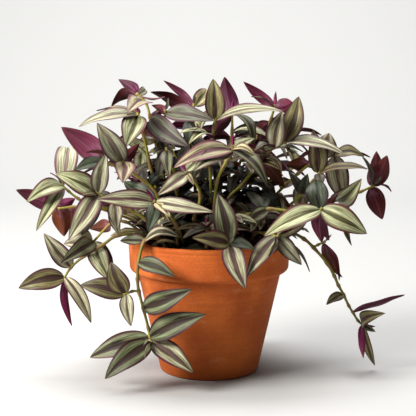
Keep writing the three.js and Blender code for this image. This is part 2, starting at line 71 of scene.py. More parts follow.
# The solids' sizes. The pot's height and rim and the soil's top come from the frame
POT_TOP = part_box("pot")[1]
POT_HEIGHT = round(POT_TOP.z / MM, 3)
RIM_RADIUS = round(POT_TOP.x / MM, 3)
SOIL_TOP = round(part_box("soil")[1].z / MM, 3)
COLLAR_HEIGHT = 24.0
COLLAR_TAPER = 1.0
COLLAR_LIP = 6.5
NECK_RADIUS = 67.0
NECK_TOP = POT_HEIGHT - COLLAR_HEIGHT - COLLAR_LIP
FOOT_RADIUS = 46.5
EDGE_ROUND = 2.5
WALL = 6.0
FLOOR = 8.0
DRAIN_RADIUS = 9.0
SOIL_GAP = 0.35
ROOT_DEPTH = 16.0
STALK_FOOT_RADIUS = 1.9
STALK_TIP_RADIUS = 1.2
STALK_END = 2.5
BLADE_FOLD = 0.2
BLADE_ARCH = 0.1

# How the solids' leaves and far stems were moved aside until each was clear: along the
# sight line in millimetres, and round the pot in degrees. A place within FOUND of a
# solid's corner is that corner
SWINGS = (0, -4, 4, -8, 8, -12, 12, -17, 17, -22, 22, -28, 28)
AZIMUTH_SHIFTS = (0, 4, -4, 8, -8, 12, -12)
FOUND = 0.02

# The pot's finer rounds: the groove under its collar, the lip, and the rim's two edges
GROOVE_ROUND = 1.3
LIP_ROUND = 4.4
RIM_ROUND = 1.7
MOUTH_ROUND = 1.2
# How far a straight stretch of its outline stays off the end of a round one
JOIN = 0.2
# The line turned in under the rim: how far down it lies, and how wide its bell curve is
RIM_LINE = 4.5
RIM_LINE_WIDTH = 0.8
# The soil's crumbs: how many waves they are the sum of, from the longest to the
# shortest, and over how far they fade at the pot
CRUMB_SEED = 11
CRUMB_WAVES = 26
CRUMB_LONGEST = 34.0
CRUMB_SHORTEST = 2.4
CRUMB_FADE = 4.0
WANDER_FALL = 0.8
# The radius of the fine hole down the soil's middle, which its grid closes round
SOIL_HOLE = 0.5

# How finely the surfaces are divided: a leaf's (columns on its upper face, rows)
POT_TURNS = 144
SOIL_RINGS = 60
SOIL_TURNS = 120
STALK_SIDES = 8
STALK_STEPS = 6
READ_GRID = (9, 14)
RULE_GRID = (5, 8)
SMALL_GRID = (5, 5)

# The stems that were read from the plant itself. A shoot's path starts at the root's
# (x, y) on the soil, or for a side shoot at a point of the first shoot. Leaves are
# (node, tip across, height, depth, width, turn, arch): turn is in degrees about the
# leaf's own axis, from its upper face towards the observer. The looks of all a stem's
# leaves stand in the same order: the upper face where one is of UPPERS, and the
# underside where it is one of UNDERS
STEMS = [
  {
    "name": "stem_top_left",
    "root": (-22, 8),
    "looks": "maroon cream olive grey maroon plum maroon pink maroon pale",
    "path": [
      (-34, 150, 0), (-44, 190, -4), (-50, 215, -6), (-54, 235, -6), (-58, 249, -2),
      (-65, 256, 0),
    ],
    "leaves": [
      (2, -67, 222, 10, 12, 120), (2, -67, 205, -30, 14, 45), (2, -31, 206, -35, 15, -50, 0.15),
      (3, -19, 209, -40, 21, -5), (3, -38, 248, 15, 7, 170),
      (5, -83, 270.5, 18, 12, 170), (5, -90, 245, 5, 14, 140, 0.32),
      (4, -75, 240, -40, 22, 45, 0.15),
      (5, -40, 254.5, 5, 8, 85), (5, -58, 261, 26, 8, 0),
    ],
  },
  {
    "name": "stem_left_upper",
    "root": (-32, -8),
    "looks": "soft olive fresh maroon",
    "path": [(-44, 150, -22), (-54, 190, -26), (-60, 218, -26), (-65, 238, -24)],
    "leaves": [
      (3, -120, 227, -36, 19, 58, 0.1), (3, -104, 242, 0, 14, 78, 0.08),
      (3, -77, 208, -52, 22, 12), (3, -69, 246, -15, 6, 160),
    ],
  },
  {
    "name": "stem_left_mid",
    "root": (-34, -16),
    "looks": "soft maroon pink maroon",
    "path": [
      (-42, 145, -34), (-50, 167, -42), (-60, 176.5, -46), (-73, 186.5, -50),
      (-79, 195, -50),
    ],
    "leaves": [
      (4, -103, 231, -62, 21, -15), (4, -114, 204, -52, 11, 115, 0.08),
      (4, -80, 175, -76, 19, 0), (4, -64, 212, -34, 10, 175),
    ],
  },
  {
    "name": "stem_left_purple",
    "root": (-40, 4),
    "looks": "purple dark",
    "path": [(-58, 160, -12), (-78, 184, -22), (-95, 195, -28)],
    "leaves": [(2, -136, 227, -18, 23, 172, 0.06), (2, -125, 186, -42, 14, 35)],
  },
  {
    "name": "stem_top_centre",
    "root": (0, -12),
    "looks": "olive soft fresh",
    "path": [(2, 150, -22), (1, 190, -24), (3, 216, -22), (6, 233, -18)],
    "leaves": [
      (3, 3.5, 271, -14, 19, 5), (3, 68, 241, -42, 15, -52, 0.1), (2, -19, 211, -46, 14, 55, 0.28),
    ],
  },
  {
    "name": "stem_top_maroon",
    "root": (14, 4),
    "looks": "plum deep dark purple",
    "path": [(16, 150, 2), (19, 190, 4), (21, 222, 6), (21, 238, 6)],
    "leaves": [
      (3, 14, 273, 16, 19, 180), (3, 40, 204, -20, 13, -45, 0.3), (2, 46, 232, 34, 9, 0),
      (3, 3, 218, -14, 14, 160),
    ],
  },
  {
    "name": "stem_top_purple",
    "root": (-6, 16),
    "looks": "purple cream maroon",
    "path": [(-8, 160, 22), (-12, 200, 26), (-15, 232, 26), (-14, 246, 25)],
    "leaves": [
      (3, -42, 269.5, 30, 9, 150), (3, -3, 262, 50, 15, 5), (2, -54, 259, 18, 15, 150, 0.26),
    ],
  },
  {
    "name": "stem_top_silver",
    "root": (-14, -2),
    "looks": "grey maroon",
    "path": [(-26, 160, -6), (-36, 200, -8), (-41, 228, -10), (-40, 240, -12)],
    "leaves": [(3, 5, 232.5, -42, 18, -28, 0.1), (3, -53, 247, 5, 8, 165)],
  },
  {
    "name": "stem_right_upper",
    "root": (16, -8),
    "looks": "olive soft maroon dusky maroon silver grey olive brown",
    "path": [
      (17, 157, -24), (30, 173, -24), (40, 186, -22), (50, 199, -20), (60, 208, -18),
      (70, 213, -16),
    ],
    "leaves": [
      (5, 82, 255, -8, 21, -8), (5, 126, 200.5, -34, 17, -52, 0.1),
      (5, 104, 219, 8, 10, -110, 0.2), (5, 92, 194, 8, 12, -80, 0.2), (4, 87, 204, -5, 9, -70),
      (4, 67, 242, -24, 18, -5), (4, 42, 205, -30, 14, 75, 0.22),
      (3, 67, 184, -30, 12, -60, 0.2), (3, 70, 171, -10, 14, 175),
    ],
  },
  {
    "name": "stem_centre",
    "root": (4, -28),
    "looks": "pink silver green cream magenta",
    "path": [(5, 150, -46), (7, 175, -54), (12, 188, -58), (18, 199, -60), (21, 206, -60)],
    "leaves": [
      (4, -33, 189, -82, 19, 32, 0.17), (4, -15, 186, -90, 16, 20, 0.08),
      (4, 54, 171, -78, 16, -45, 0.2), (4, 43, 199.5, -70, 10, -50, 0.25), (4, 24, 212, -62, 5, 0),
    ],
  },
  {
    "name": "stem_right_mid",
    "root": (38, -12),
    "looks": "olive dusky grey dark grey",
    "path": [(58, 140, -16), (72, 152, -18), (86, 165, -18), (95, 176, -16), (101, 184, -14)],
    "leaves": [
      (4, 95, 224, -6, 18, 5), (4, 147, 188, -26, 14, -58, 0.12), (4, 103, 170, -34, 10, 0),
      (2, 91, 184, -35, 13, 0), (2, 73, 186, -22, 9, 10),
    ],
  },
  {
    "name": "stem_right_back",
    "root": (30, 8),
    "looks": "brown silver olive maroon pale",
    "path": [
      (44, 145, 4), (58, 160, 6), (70, 173, 8), (82, 184, 8), (93, 192.5, 8), (106, 198, 8),
      (115, 201, 8),
    ],
    "leaves": [
      (4, 70, 191, 2, 12, 160), (5, 110, 221.5, 14, 22, 0), (6, 143, 199.5, 8, 15, -45, 0.2),
      (6, 149, 199, 16, 8, -110), (6, 125, 158, 14, 22, 0),
    ],
  },
  {
    "name": "stem_right_tip",
    "root": (40, 10),
    "looks": "maroon maroon grey maroon maroon fresh olive",
    "path": [
      (60, 140, 12), (84, 150, 16), (108, 157, 18), (117, 159, 19), (130, 163, 20), (140, 167, 20),
      (150.5, 172, 20),
    ],
    "leaves": [
      (6, 154, 205, 28, 16, 165), (6, 164, 201, 14, 17, 172), (6, 141, 200, 10, 10, 60),
      (6, 169, 167, 26, 8, -100, 0.2), (6, 161, 141, 10, 18, 175),
      (3, 141, 179.5, -34, 20, 15), (4, 133, 116, 8, 12, 50),
    ],
  },
  {
    "name": "stem_right_front",
    "root": (24, -26),
    "looks": "fresh fresh purple purple dark maroon deep",
    "path": [
      (30, 142, -50), (42, 147, -54), (55, 151, -56), (78, 148, -56), (93, 143.5, -56),
      (103, 150.5, -58),
    ],
    "leaves": [
      (5, 51, 125, -82, 21, 28, 0.12), (5, 147, 127.5, -66, 23, -12), (5, 105, 119, -50, 15, 178),
      (5, 112, 121, -42, 13, 150), (5, 99, 178, -36, 20, 0, 0.2), (5, 120, 167, -14, 10, 180),
      (2, 33, 136, -62, 12, 10),
    ],
  },
  {
    "name": "stem_rim_right",
    "root": (34, -34),
    "looks": "silver olive soft olive olive maroon",
    "path": [(42, 128, -46), (52, 128, -60), (63, 125, -72)],
    "leaves": [
      (2, 35, 86, -96, 17, 20), (2, 55, 107, -92, 8, -40), (2, 86.5, 98, -80, 15, -15),
      (2, 91, 139, -62, 13, -20), (2, 80, 131, -84, 8, -50), (2, 94.5, 91, -66, 8, -70, 0.12),
    ],
  },
  {
    "name": "stem_rim_front",
    "root": (8, -46),
    "looks": "green olive silver dark",
    "path": [(12, 121, -66), (18, 119, -84)],
    "leaves": [
      (1, 8, 165, -70, 21, 5), (1, -16, 124, -106, 17, 15), (1, 34, 75, -102, 20, -5),
      (1, 43, 112, -90, 12, -40),
    ],
  },
  {
    "name": "stem_trail_left",
    "root": (-34, -32),
    "looks": "silver green deep deep deep green silver deep green dusky dusky silver",
    "path": [
      (-47, 123, -45), (-60, 121, -58), (-66, 101, -64), (-67, 85, -65), (-66, 73, -65),
      (-62, 57, -64), (-57.5, 38, -64), (-56, 29, -66), (-54, 24, -67),
    ],
    "leaves": [
      (1, -26, 123, -62, 15, -50, 0.25), (1, -83, 121, -48, 11, 30), (2, -32, 87, -86, 15, -10),
      (5, -16, 75, -88, 20, -8), (7, -3, 51, -84, 22, -8), (7, -113, 9, -60, 21, 12),
      (8, -15, -6, -86, 20, -15), (8, -99, -12, -84, 22, 15), (8, -61, 8, -92, 5, 60),
    ],
    "side": {
      "path": [(-66, 73, -65), (-72, 73, -66), (-78, 70.5, -67)],
      "leaves": [
        (2, -92, 101, -62, 20, -15), (2, -121, 79, -62, 19, 12), (2, -73.5, 39, -82, 13, 5),
      ],
    },
  },
  {
    "name": "stem_left_low",
    "root": (-46, -8),
    "looks": "pale green fresh dark brown",
    "path": [(-62, 128, -12), (-78, 139, -18), (-92, 136.5, -22), (-108, 120, -24)],
    "leaves": [
      (3, -136, 118, -42, 22, 15, 0.25), (3, -139, 99.5, -58, 17, 10), (3, -93, 83, -46, 19, 15),
      (3, -90, 93, -22, 13, -25), (2, -111, 132, -8, 13, 170),
    ],
  },
  {
    "name": "stem_left_low_tip",
    "root": (-42, -22),
    "looks": "dusky silver magenta silver",
    "path": [
      (-60, 125, -34), (-84, 126.5, -36), (-100, 116.5, -36), (-116, 107, -34), (-129, 96, -32),
      (-135, 86.5, -30),
    ],
    "leaves": [
      (5, -179, 76, -34, 20, 8), (5, -111, 42, -44, 14, -15), (5, -129, 39, -34, 9, 150, 0.06),
      (4, -154, 128, -40, 17, -5),
    ],
  },
  {
    "name": "stem_left_far",
    "root": (-44, 10),
    "looks": "soft fresh fresh olive",
    "path": [
      (-60, 135, 4), (-86, 150, -4), (-108, 153, -8), (-121, 160.5, -10), (-130, 167.5, -10),
      (-135, 172.5, -10),
    ],
    "leaves": [
      (5, -131, 207, 42, 22, -5, 0.25), (5, -169.5, 157, -34, 18, 25, 0.2),
      (5, -161, 130, -40, 14, 20), (5, -147, 185, 0, 5, 80),
    ],
  },
  {
    "name": "stem_left_back",
    "root": (-36, 20),
    "looks": "purple brown magenta brown",
    "path": [(-60, 135, 16), (-90, 148, 14), (-112, 153, 10), (-126, 153, 8), (-138, 151.5, 6)],
    "leaves": [
      (4, -179, 169, 0, 17, 170), (4, -135, 125, 10, 20, 178), (4, -124, 161, 24, 13, 178),
      (3, -129, 136, 14, 10, 178),
    ],
  },
  {
    "name": "stem_left_front",
    "root": (-38, -28),
    "looks": "fresh soft pale dark olive silver silver",
    "path": [(-56, 138, -42), (-74, 150, -46), (-88, 157, -50), (-103, 165.5, -52)],
    "leaves": [
      (3, -142, 184, -58, 21, 18), (3, -95, 203, -48, 16, 0), (3, -131, 121, -74, 20, 10),
      (3, -119, 126, -50, 15, -10), (3, -118, 164, -66, 5, 40),
      (2, -85.5, 132, -62, 14, 0), (2, -83, 126, -40, 11, 20),
    ],
  },
  {
    "name": "stem_centre_left",
    "root": (-20, -38),
    "looks": "silver dark silver cream cream dark",
    "path": [(-30, 135, -58), (-40, 148, -72), (-50, 157, -80)],
    "leaves": [
      (2, -104, 160, -92, 18, 18, 0.06), (2, -79, 176.5, -58, 16, 25), (2, 4, 148, -106, 14, -18),
      (2, -36, 143, -98, 10, -20), (2, -36.5, 139, -88, 6, 0), (2, -57, 129.5, -96, 14, 5),
    ],
  },
  {
    "name": "stem_centre_mid",
    "root": (-10, -24),
    "looks": "silver olive",
    "path": [(-14, 140, -44), (-8, 162, -56), (-14, 178, -64), (-20, 184, -66)],
    "leaves": [(3, -48, 163.5, -88, 14, 18), (3, -14, 173, -78, 5, 0)],
  },
  {
    "name": "stem_inner_left",
    "root": (-18, -12),
    "looks": "green grey maroon",
    "path": [(-26, 150, -22), (-34, 180, -30), (-39, 206, -32)],
    "leaves": [(2, -37, 181, -50, 12, 0), (2, -47, 178, -38, 11, 10), (2, -64, 196, 2, 13, 170)],
  },
  {
    "name": "stem_inner_top",
    "root": (-8, 0),
    "looks": "dark dark",
    "path": [(-12, 160, -2), (-16, 200, -6), (-19, 232, -8)],
    "leaves": [(2, -21, 208, -28, 10, 0), (2, -8, 205, -26, 12, 20)],
  },
  {
    "name": "stem_inner_far_left",
    "root": (-28, -2),
    "looks": "fresh purple",
    "path": [(-40, 150, -6), (-52, 170, -12), (-65, 185, -16)],
    "leaves": [(2, -62, 205, -4, 14, 5), (2, -69, 172, -34, 10, 178)],
  },
  {
    "name": "stem_right_top_far",
    "root": (22, 24),
    "looks": "purple olive purple maroon maroon purple",
    "path": [(34, 160, 32), (48, 205, 36), (56, 232, 36), (60, 245, 36)],
    "leaves": [
      (3, 31, 268.5, 38, 11, 172), (3, 38, 255, 26, 6, 90), (3, 76, 250, 20, 14, 178),
      (2, 41, 214, 50, 14, 160), (2, 84, 226, 44, 15, 170), (1, 66, 196, 50, 15, 160),
    ],
  },
  {
    "name": "stem_trail_right",
    "root": (44, -16),
    "looks": "purple olive magenta olive green olive maroon brown",
    "path": [
      (60, 131, -20), (76, 129, -22), (88, 123, -24), (97, 115, -24), (110, 100, -24),
      (117, 88, -22),
      (121, 79, -20), (126, 70, -18), (131, 59.5, -16), (135, 53, -15), (140, 45, -14),
      (144, 41, -14),
    ],
    "leaves": [
      (9, 184, 70, -20, 12, -118, 0), (11, 166, 52, -44, 14, -20, 0.2),
      (11, 146, 8, -40, 8, 150, 0.03),
      (11, 157, 1, -10, 9, 20), (11, 157, 34, -22, 6, 0), (7, 110, 60, -32, 11, 30),
    ],
    "side": {
      "path": [(97, 115, -24), (101, 117, -22), (106, 119.5, -20)],
      "leaves": [(2, 122, 83, -18, 11, -115), (2, 125, 86, -8, 11, 140)],
    },
  },
  {
    "name": "stem_trail_far_left",
    "root": (-20, 45),
    "looks": "silver green silver green silver green",
    "path": [
      (-24, 141, 60), (-27, 139, 78), (-28, 120, 90), (-27, 100, 90), (-25, 80, 88),
      (-22, 60, 86),
    ],
    "leaves": [
      (1, 6, 126, 98, 18, 170), (2, -58, 106, 84, 18, 160), (3, 2, 82, 96, 17, 185),
      (4, -48, 62, 90, 17, 170), (5, -2, 36, 96, 16, 190), (5, -40, 30, 84, 15, 165),
    ],
  },
  {
    "name": "stem_trail_far_right",
    "root": (24, 44),
    "looks": "green silver green silver green",
    "path": [(32, 141, 58), (37, 139, 76), (38, 121, 88), (37, 104, 89), (34, 86, 87)],
    "leaves": [
      (1, 62, 124, 86, 17, 170), (2, 16, 106, 98, 17, 180), (3, 56, 80, 84, 16, 175),
      (4, 20, 58, 94, 16, 185), (4, 44, 52, 86, 15, 170),
    ],
  },
]

# Upper faces: the bands, the midrib stripe and the margin, and how far the stripe
# reaches out from the midrib, as a share of half the blade
UPPERS = {
    "silver": ("B4B198", "523639", "4C272D", 0.16),
    "soft": ("ACAB94", "66544F", "55343A", 0.11),
    "fresh": ("B6B896", "464028", "502A28", 0.08),
    "cream": ("BEB08C", "584A30", "582A2A", 0.14),
    "pink": ("A3987F", "52303A", "5C2E3C", 0.19),
    "green": ("7F8368", "2E1C1E", "42262A", 0.19),
    "dusky": ("756D4C", "38221F", "42262A", 0.24),
    "deep": ("6C7257", "271113", "361A1E", 0.26),
    "pale": ("BFBDA2", "5E4A48", "5C3640", 0.12),
    "olive": ("8C8460", "42282A", "482628", 0.18),
    "grey": ("66665A", "3E312F", "482F36", 0.16),
    "dark": ("4A5242", "1C1716", "2A1C1C", 0.06),
}
UNDERS = {
    "purple": "521C30",
    "plum": "40142A",
    "magenta": "661640",
    "maroon": "4A1A1C",
    "brown": "5C2E18",
}
OUTER_UPPERS = ("silver", "fresh", "green", "cream", "grey", "olive")
INNER_UPPERS = ("dark", "dark", "green", "grey", "olive")
OUTER_UNDERS = ("purple", "maroon", "purple", "magenta")
INNER_UNDERS = ("maroon", "brown", "purple")
# Stalks: at the soil, on the way and at the tip, and the sheath above each node. The colour
# at the soil is the stalk's own browner foot with painted shade in it
STALK_COLOURS = ("33291A", "86802C", "8C8436")
SHEATH_COLOUR = "84564C"

# The inner and far stems, which fan out by the rule of the solids, between start and
# stop in degrees round the pot. They root at a radius of roots and end at wide across
# or deep behind. They are low or more above the floor and rise to top. Each has so
# many leaves at its tip, about leaf long
TIERS = (
    dict(name="stem_inner", stems=6, start=204, stop=352,
         roots=52, wide=57, deep=59, low=120, top=146, tips=3, leaf=27),
    dict(name="stem_far_high", stems=4, start=4, stop=172,
         roots=15, wide=52, deep=44, low=131, top=216, tips=4, leaf=43),
    dict(name="stem_far_mid", stems=5, start=-4, stop=184,
         roots=33, wide=84, deep=62, low=131, top=184, tips=4, leaf=43),
    dict(name="stem_far_low", stems=5, start=-12, stop=192,
         roots=50, wide=88, deep=66, low=131, top=148, tips=4, leaf=43),
)

# The draws' own rule: how a seed starts them, and how each follows from the last
SEED_FACTOR = 7919
SEED_STEP = 17
DRAW_FACTOR = 1664525
DRAW_STEP = 1013904223
DRAW_RANGE = 2**32
TIER_SEED = 100
STEM_SEED = 5000

# The rule of the inner and far stems, as in the solids. Pairs are the two limits of a
# draw: turns, spreads and lifts in degrees, widths and arches as shares of a length
TIER_NODES = 4
TIER_BEND = 1.25
TIER_TURNS = (-3, 3)
TIER_REACHES = (0.94, 1.06)
TIER_TOPS = (-6, 6)
SIDE_SPREADS = (60, 110)
SIDE_LIFT = -4
TIP_SPREAD = 54
TIP_TURNS = (-7, 7)
TIP_LIFTS = (-12, 8)
FACE_LEANS = (0.4, 0.9)
LEAF_LENGTHS = (0.88, 1.12)
LEAF_LIFTS = (-14, 14)
LEAF_WIDTHS = (0.35, 0.41)
LEAF_ARCHES = (0.1, 0.17)
# The older leaves low down inside, which the solids have
INNER_RADIUS = 45
INNER_LENGTH = 39
INNER_SPREADS = (40, 110)
INNER_FACE = np.array([0.0, -0.3, 1.0])

# The small old leaves, which only this file has. They grow within OLD_RADIUS of the
# pot's axis, from OLD_LOW above the soil up to a height of OLD_HIGH, and past OLD_START
# spans from the ground. More than OLD_FRONT before the axis they head backwards
OLD_RADIUS = 74
OLD_LOW = 4
OLD_HIGH = 206
OLD_FRONT = 22
OLD_SHARE = 0.85
OLD_STEPS = 3
OLD_START = 0.5
OLD_HEADINGS = (0, 360)
OLD_FRONT_HEADINGS = (25, 155)
OLD_LIFTS = (-22, 38)
OLD_LENGTHS = (22, 38)
# The rolled young leaf at a shoot's end, its width and arch as shares of its length
YOUNG_LENGTHS = (8, 14)
YOUNG_LEAN = 0.8
YOUNG_WIDTH = 0.26
YOUNG_ARCH = 0.12

# A blade's outline and edge. A margin waves fully where half the blade is WAVE_HALF wide
BLADE_LEAN = 0.7
BLADE_FULLNESS = 0.8
ROW_CROWDING = 0.045
WAVES = 1.6
WAVE_HALF = 6.0
THINNING = 0.6
# A stalk's nodes and the sheath after each: places and lengths as shares of a span,
# and how thick the stalk is between them and how much more at each
ROOT_RISE = 4.0
BARE_NODES = 2
NODE_LENGTH = 0.13
SHEATH_PLACE = 0.12
SHEATH_LENGTH = 0.16
STALK_SLIM = 0.88
NODE_SWELL = 0.34
SHEATH_SWELL = 0.2
SHEATH_COVER = 0.7
STALK_LIGHTS = (0.75, 1.15)
# A stalk is dark for this far from its foot, its own browner foot with painted shade deep
# in the plant, and then turns green over a length
STALK_DARK = 20
STALK_GREENING = 60

# Where a leaf counts as an outer one, and how its light and its stripe's reach vary
OUTER_RADIUS = 62
OUTER_HEIGHT = 205
LEAF_LIGHTS = (0.86, 1.14)
STRIPE_REACHES = (0.0, 0.06)
# Painted shade inside the plant: how much of its colour a leaf keeps, the least where
# its middle is SHADE_START or less from the pot's axis, and all of it SHADE_SPAN farther
# out. What lies forwards, or above SHADE_HEIGHT, counts towards the way out too
SHADE_LEAST = 0.12
SHADE_START = 42.0
SHADE_SPAN = 33.0
SHADE_HEIGHT = 150.0
SHADE_FORWARDS = 1.1
SHADE_UPWARDS = 0.9
# How much more of the red, green and blue the painted shade takes away, deepest inside
PAINTED_SHADE_LOSS = np.array([0.0, 0.14, 0.46])
# How far apart two leaves lie in their streaks' noise
OWN_SPREAD = 37.0

# The stage: a floor that bends up into a wall, three lights and the camera, which sees
# as far as FARTHEST metres. Its lens is as long as LENS_DOTS of the picture's
# PICTURE_DOTS across
FLOOR_FRONT = -3000
FLOOR_SIDE = 3500
BEND_START = 1200
BEND_RADIUS = 800
WALL_TOP = 4000
FLOOR_ROWS = 8
FLOOR_COLUMNS = 5
BEND_ROWS = 12
KEY_LIGHT = dict(place=(-920, -500, 760), target=(0, 0, 140), size=560, tone=(1.0, 0.98, 0.95))
FILL_LIGHT = dict(place=(1000, -500, 400), target=(0, 0, 120), size=900, tone=(1.0, 0.94, 0.86))
WALL_LIGHT = dict(place=(0, 500, 2600), target=(0, 2000, 500), size=1600, tone=(1.0, 1.0, 1.0))
SKY_TONE = (1.0, 0.88, 0.72, 1.0)
CAMERA_PLACE = (-1.1, -986.45, 289.82)
CAMERA_TILT = 7.96
LENS_DOTS = 1073.63
PICTURE_DOTS = 416
SENSOR_WIDTH = 36.0
FARTHEST = 20.0


def seen(point):
    """A point read from the observer's side, moved along the sight line to its depth."""
    across, height, depth = point
    share = (depth - OBSERVER[1]) / -OBSERVER[1]
    return OBSERVER + (np.array([across, 0.0, height]) - OBSERVER) * share


def draws(seed):
    """Draws from 0 to 1, the same ones as the solids' for the same seed."""
    state = [seed * SEED_FACTOR + SEED_STEP]

    def draw():
        state[0] = (state[0] * DRAW_FACTOR + DRAW_STEP) % DRAW_RANGE
        return state[0] / DRAW_RANGE

    draw()
    draw()
    return draw


def between(limits, draw):
    """The next draw, spread between two limits."""
    low, high = limits
    return low + (high - low) * draw()


def unit(vector):
    """The vector at length one."""
    return vector / np.linalg.norm(vector)


def square_to(axis, direction):
    """The unit vector square to axis and nearest to direction."""
    return unit(direction - axis * np.dot(direction, axis))


def turned(vector, axis, degrees):
    """The vector turned about a unit axis by the right-hand rule."""
    angle = math.radians(degrees)
    across = np.cross(axis, vector)
    along = axis * np.dot(axis, vector)
    return along + (vector - along) * math.cos(angle) + across * math.sin(angle)


def facing(foot, tip, turn):
    """Where a leaf's upper face looks: to the observer, turned about the leaf's axis."""
    axis = unit(tip - foot)
    return turned(square_to(axis, OBSERVER - foot), axis, turn)


def colour(code):
    """A colour in linear light, from its six-figure sRGB code."""
    srgb = np.array([int(code[i : i + 2], 16) / 255 for i in (0, 2, 4)])
    return np.where(srgb <= 0.04045, srgb / 12.92, ((srgb + 0.055) / 1.055) ** 2.4)


def leaf_towards(foot, heading, lift, length, face, draw):
    """A leaf from a foot towards a heading and a lift above level, both in radians."""
    level = math.cos(lift)
    way = np.array([math.cos(heading) * level, math.sin(heading) * level, math.sin(lift)])
    width = between(LEAF_WIDTHS, draw) * length
    arch = between(LEAF_ARCHES, draw)
    return dict(foot=foot, face=face, tip=foot + way * length, width=width, arch=arch)


def tier_leaf(tier, foot, azimuth, spread, lift, draw):
    """A leaf of a tier's stem, that looks up and outwards."""
    out = between(FACE_LEANS, draw)
    face = np.array([out * math.cos(azimuth), out * math.sin(azimuth), 1.0])
    length = tier["leaf"] * between(LEAF_LENGTHS, draw)
    lift += between(LEAF_LIFTS, draw)
    heading = azimuth + math.radians(spread)
    return leaf_towards(foot, heading, math.radians(lift), length, face, draw)


def tier_stem(tier, k, shift):
    """A stem of a tier, shifted by some degrees from its even place. It rises as a sine
    and runs outwards as t to the power TIER_BEND, for t from 0 at its root to 1."""
    draw = draws(TIERS.index(tier) * TIER_SEED + k)
    even = tier["start"] + (tier["stop"] - tier["start"]) * (k + 0.5) / tier["stems"]
    azimuth = math.radians(even + between(TIER_TURNS, draw) + shift)
    out = np.array([math.cos(azimuth), math.sin(azimuth), 0.0])
    start = out * tier["roots"]
    end = out * np.array([tier["wide"], tier["deep"], 0.0]) * between(TIER_REACHES, draw)
    top = tier["top"] + between(TIER_TOPS, draw)
    nodes = []
    for i in range(TIER_NODES):
        t = (i + 1) / TIER_NODES
        height = SOIL_TOP + (top - SOIL_TOP) * math.sin(math.pi / 2 * t)
        nodes.append(start + (end - start) * t**TIER_BEND + UP * max(height, tier["low"]))
    leaves = []
    for i, foot in enumerate(nodes[:-1]):
        spread = (1 if i % 2 else -1) * between(SIDE_SPREADS, draw)
        leaves.append(tier_leaf(tier, foot, azimuth, spread, SIDE_LIFT, draw))
    for j in range(tier["tips"]):
        spread = (j - (tier["tips"] - 1) / 2) * TIP_SPREAD + between(TIP_TURNS, draw)
        leaves.append(tier_leaf(tier, nodes[-1], azimuth, spread, TIP_LIFTS[j % 2], draw))
    return dict(name=f"{tier['name']}_{k + 1}", root=start[:2], shoots=[nodes], leaves=leaves)


def inner_leaves(nodes, seed):
    """Older leaves low down inside the plant, one at each inner node of a stem."""
    draw = draws(seed)
    inner = [node for node in nodes[:-1] if math.hypot(node[0], node[1]) < INNER_RADIUS]
    leaves = []
    for i, foot in enumerate(inner):
        spread = (1 if i % 2 else -1) * between(INNER_SPREADS, draw)
        heading = math.atan2(foot[1], foot[0]) + math.radians(spread)
        lift = math.radians(between(LEAF_LIFTS, draw))
        length = INNER_LENGTH * between(LEAF_LENGTHS, draw)
        leaves.append(leaf_towards(foot, heading, lift, length, INNER_FACE, draw))
    return leaves


def read_stem(stem, seed):
    """A read stem's shoots and leaves, in real places."""
    tints = stem["looks"].split()
    shoots = []
    leaves = []
    for shoot in [stem] + ([stem["side"]] if "side" in stem else []):
        nodes = [seen(point) for point in shoot["path"]]
        shoots.append(nodes)
        for node, across, height, depth, width, turn, *rest in shoot["leaves"]:
            leaves.append(dict(
                foot=nodes[node], read=(across, height, depth), width=width, turn=turn,
                arch=rest[0] if rest else BLADE_ARCH, tint=tints[len(leaves)],
            ))
    leaves += inner_leaves(shoots[0], seed)
    return dict(name=stem["name"], root=stem["root"], shoots=shoots, leaves=leaves)


def root_point(stem):
    """Where a stem's stalk starts in the soil."""
    return np.array([stem["root"][0], stem["root"][1], SOIL_TOP - ROOT_DEPTH])


def swung(leaf, amount):
    """A leaf swung aside: along the sight line at its tip where it was read, and round
    its foot elsewhere."""
    if "read" in leaf:
        across, height, depth = leaf["read"]
        tip = seen((across, height, depth + amount))
        return dict(leaf, tip=tip, face=facing(leaf["foot"], tip, leaf["turn"]))
    way = turned(leaf["tip"] - leaf["foot"], UP, 2 * amount)
    return dict(leaf, tip=leaf["foot"] + way)


def solid_points(node):
    """The corners of a CAD node's solid, in millimetres."""
    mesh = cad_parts[node].data
    points = np.empty(len(mesh.vertices) * 3, np.float32)
    mesh.vertices.foreach_get("co", points)
    return points.reshape(-1, 3).astype(float) / MM


def is_corner(point, corners):
    """Whether a solid has a corner at a point."""
    return bool((np.abs(corners - point).sum(1) < FOUND).any())


def grown_stems():
    """Every leafy stem as its solid grew: where a leaf or a whole stem was moved aside,
    the move is the first one whose tip or root is a corner of the solid. A leaf that
    the solid hasn't got is left out."""
    stems = [read_stem(stem, i) for i, stem in enumerate(STEMS)]
    for tier in TIERS:
        for k in range(tier["stems"]):
            corners = solid_points(f"{tier['name']}_{k + 1}")
            ways = [tier_stem(tier, k, shift) for shift in AZIMUTH_SHIFTS]
            rooted = [way for way in ways if is_corner(root_point(way), corners)]
            if not rooted:
                raise RuntimeError(f"{tier['name']}_{k + 1} isn't rooted where its solid is")
            stems.append(rooted[0])
    for stem in stems:
        corners = solid_points(stem["name"])
        grown = []
        for leaf in stem["leaves"]:
            ways = [swung(leaf, amount) for amount in SWINGS]
            grown += [way for way in ways if is_corner(way["tip"], corners)][:1]
        stem["leaves"] = grown
    return stems


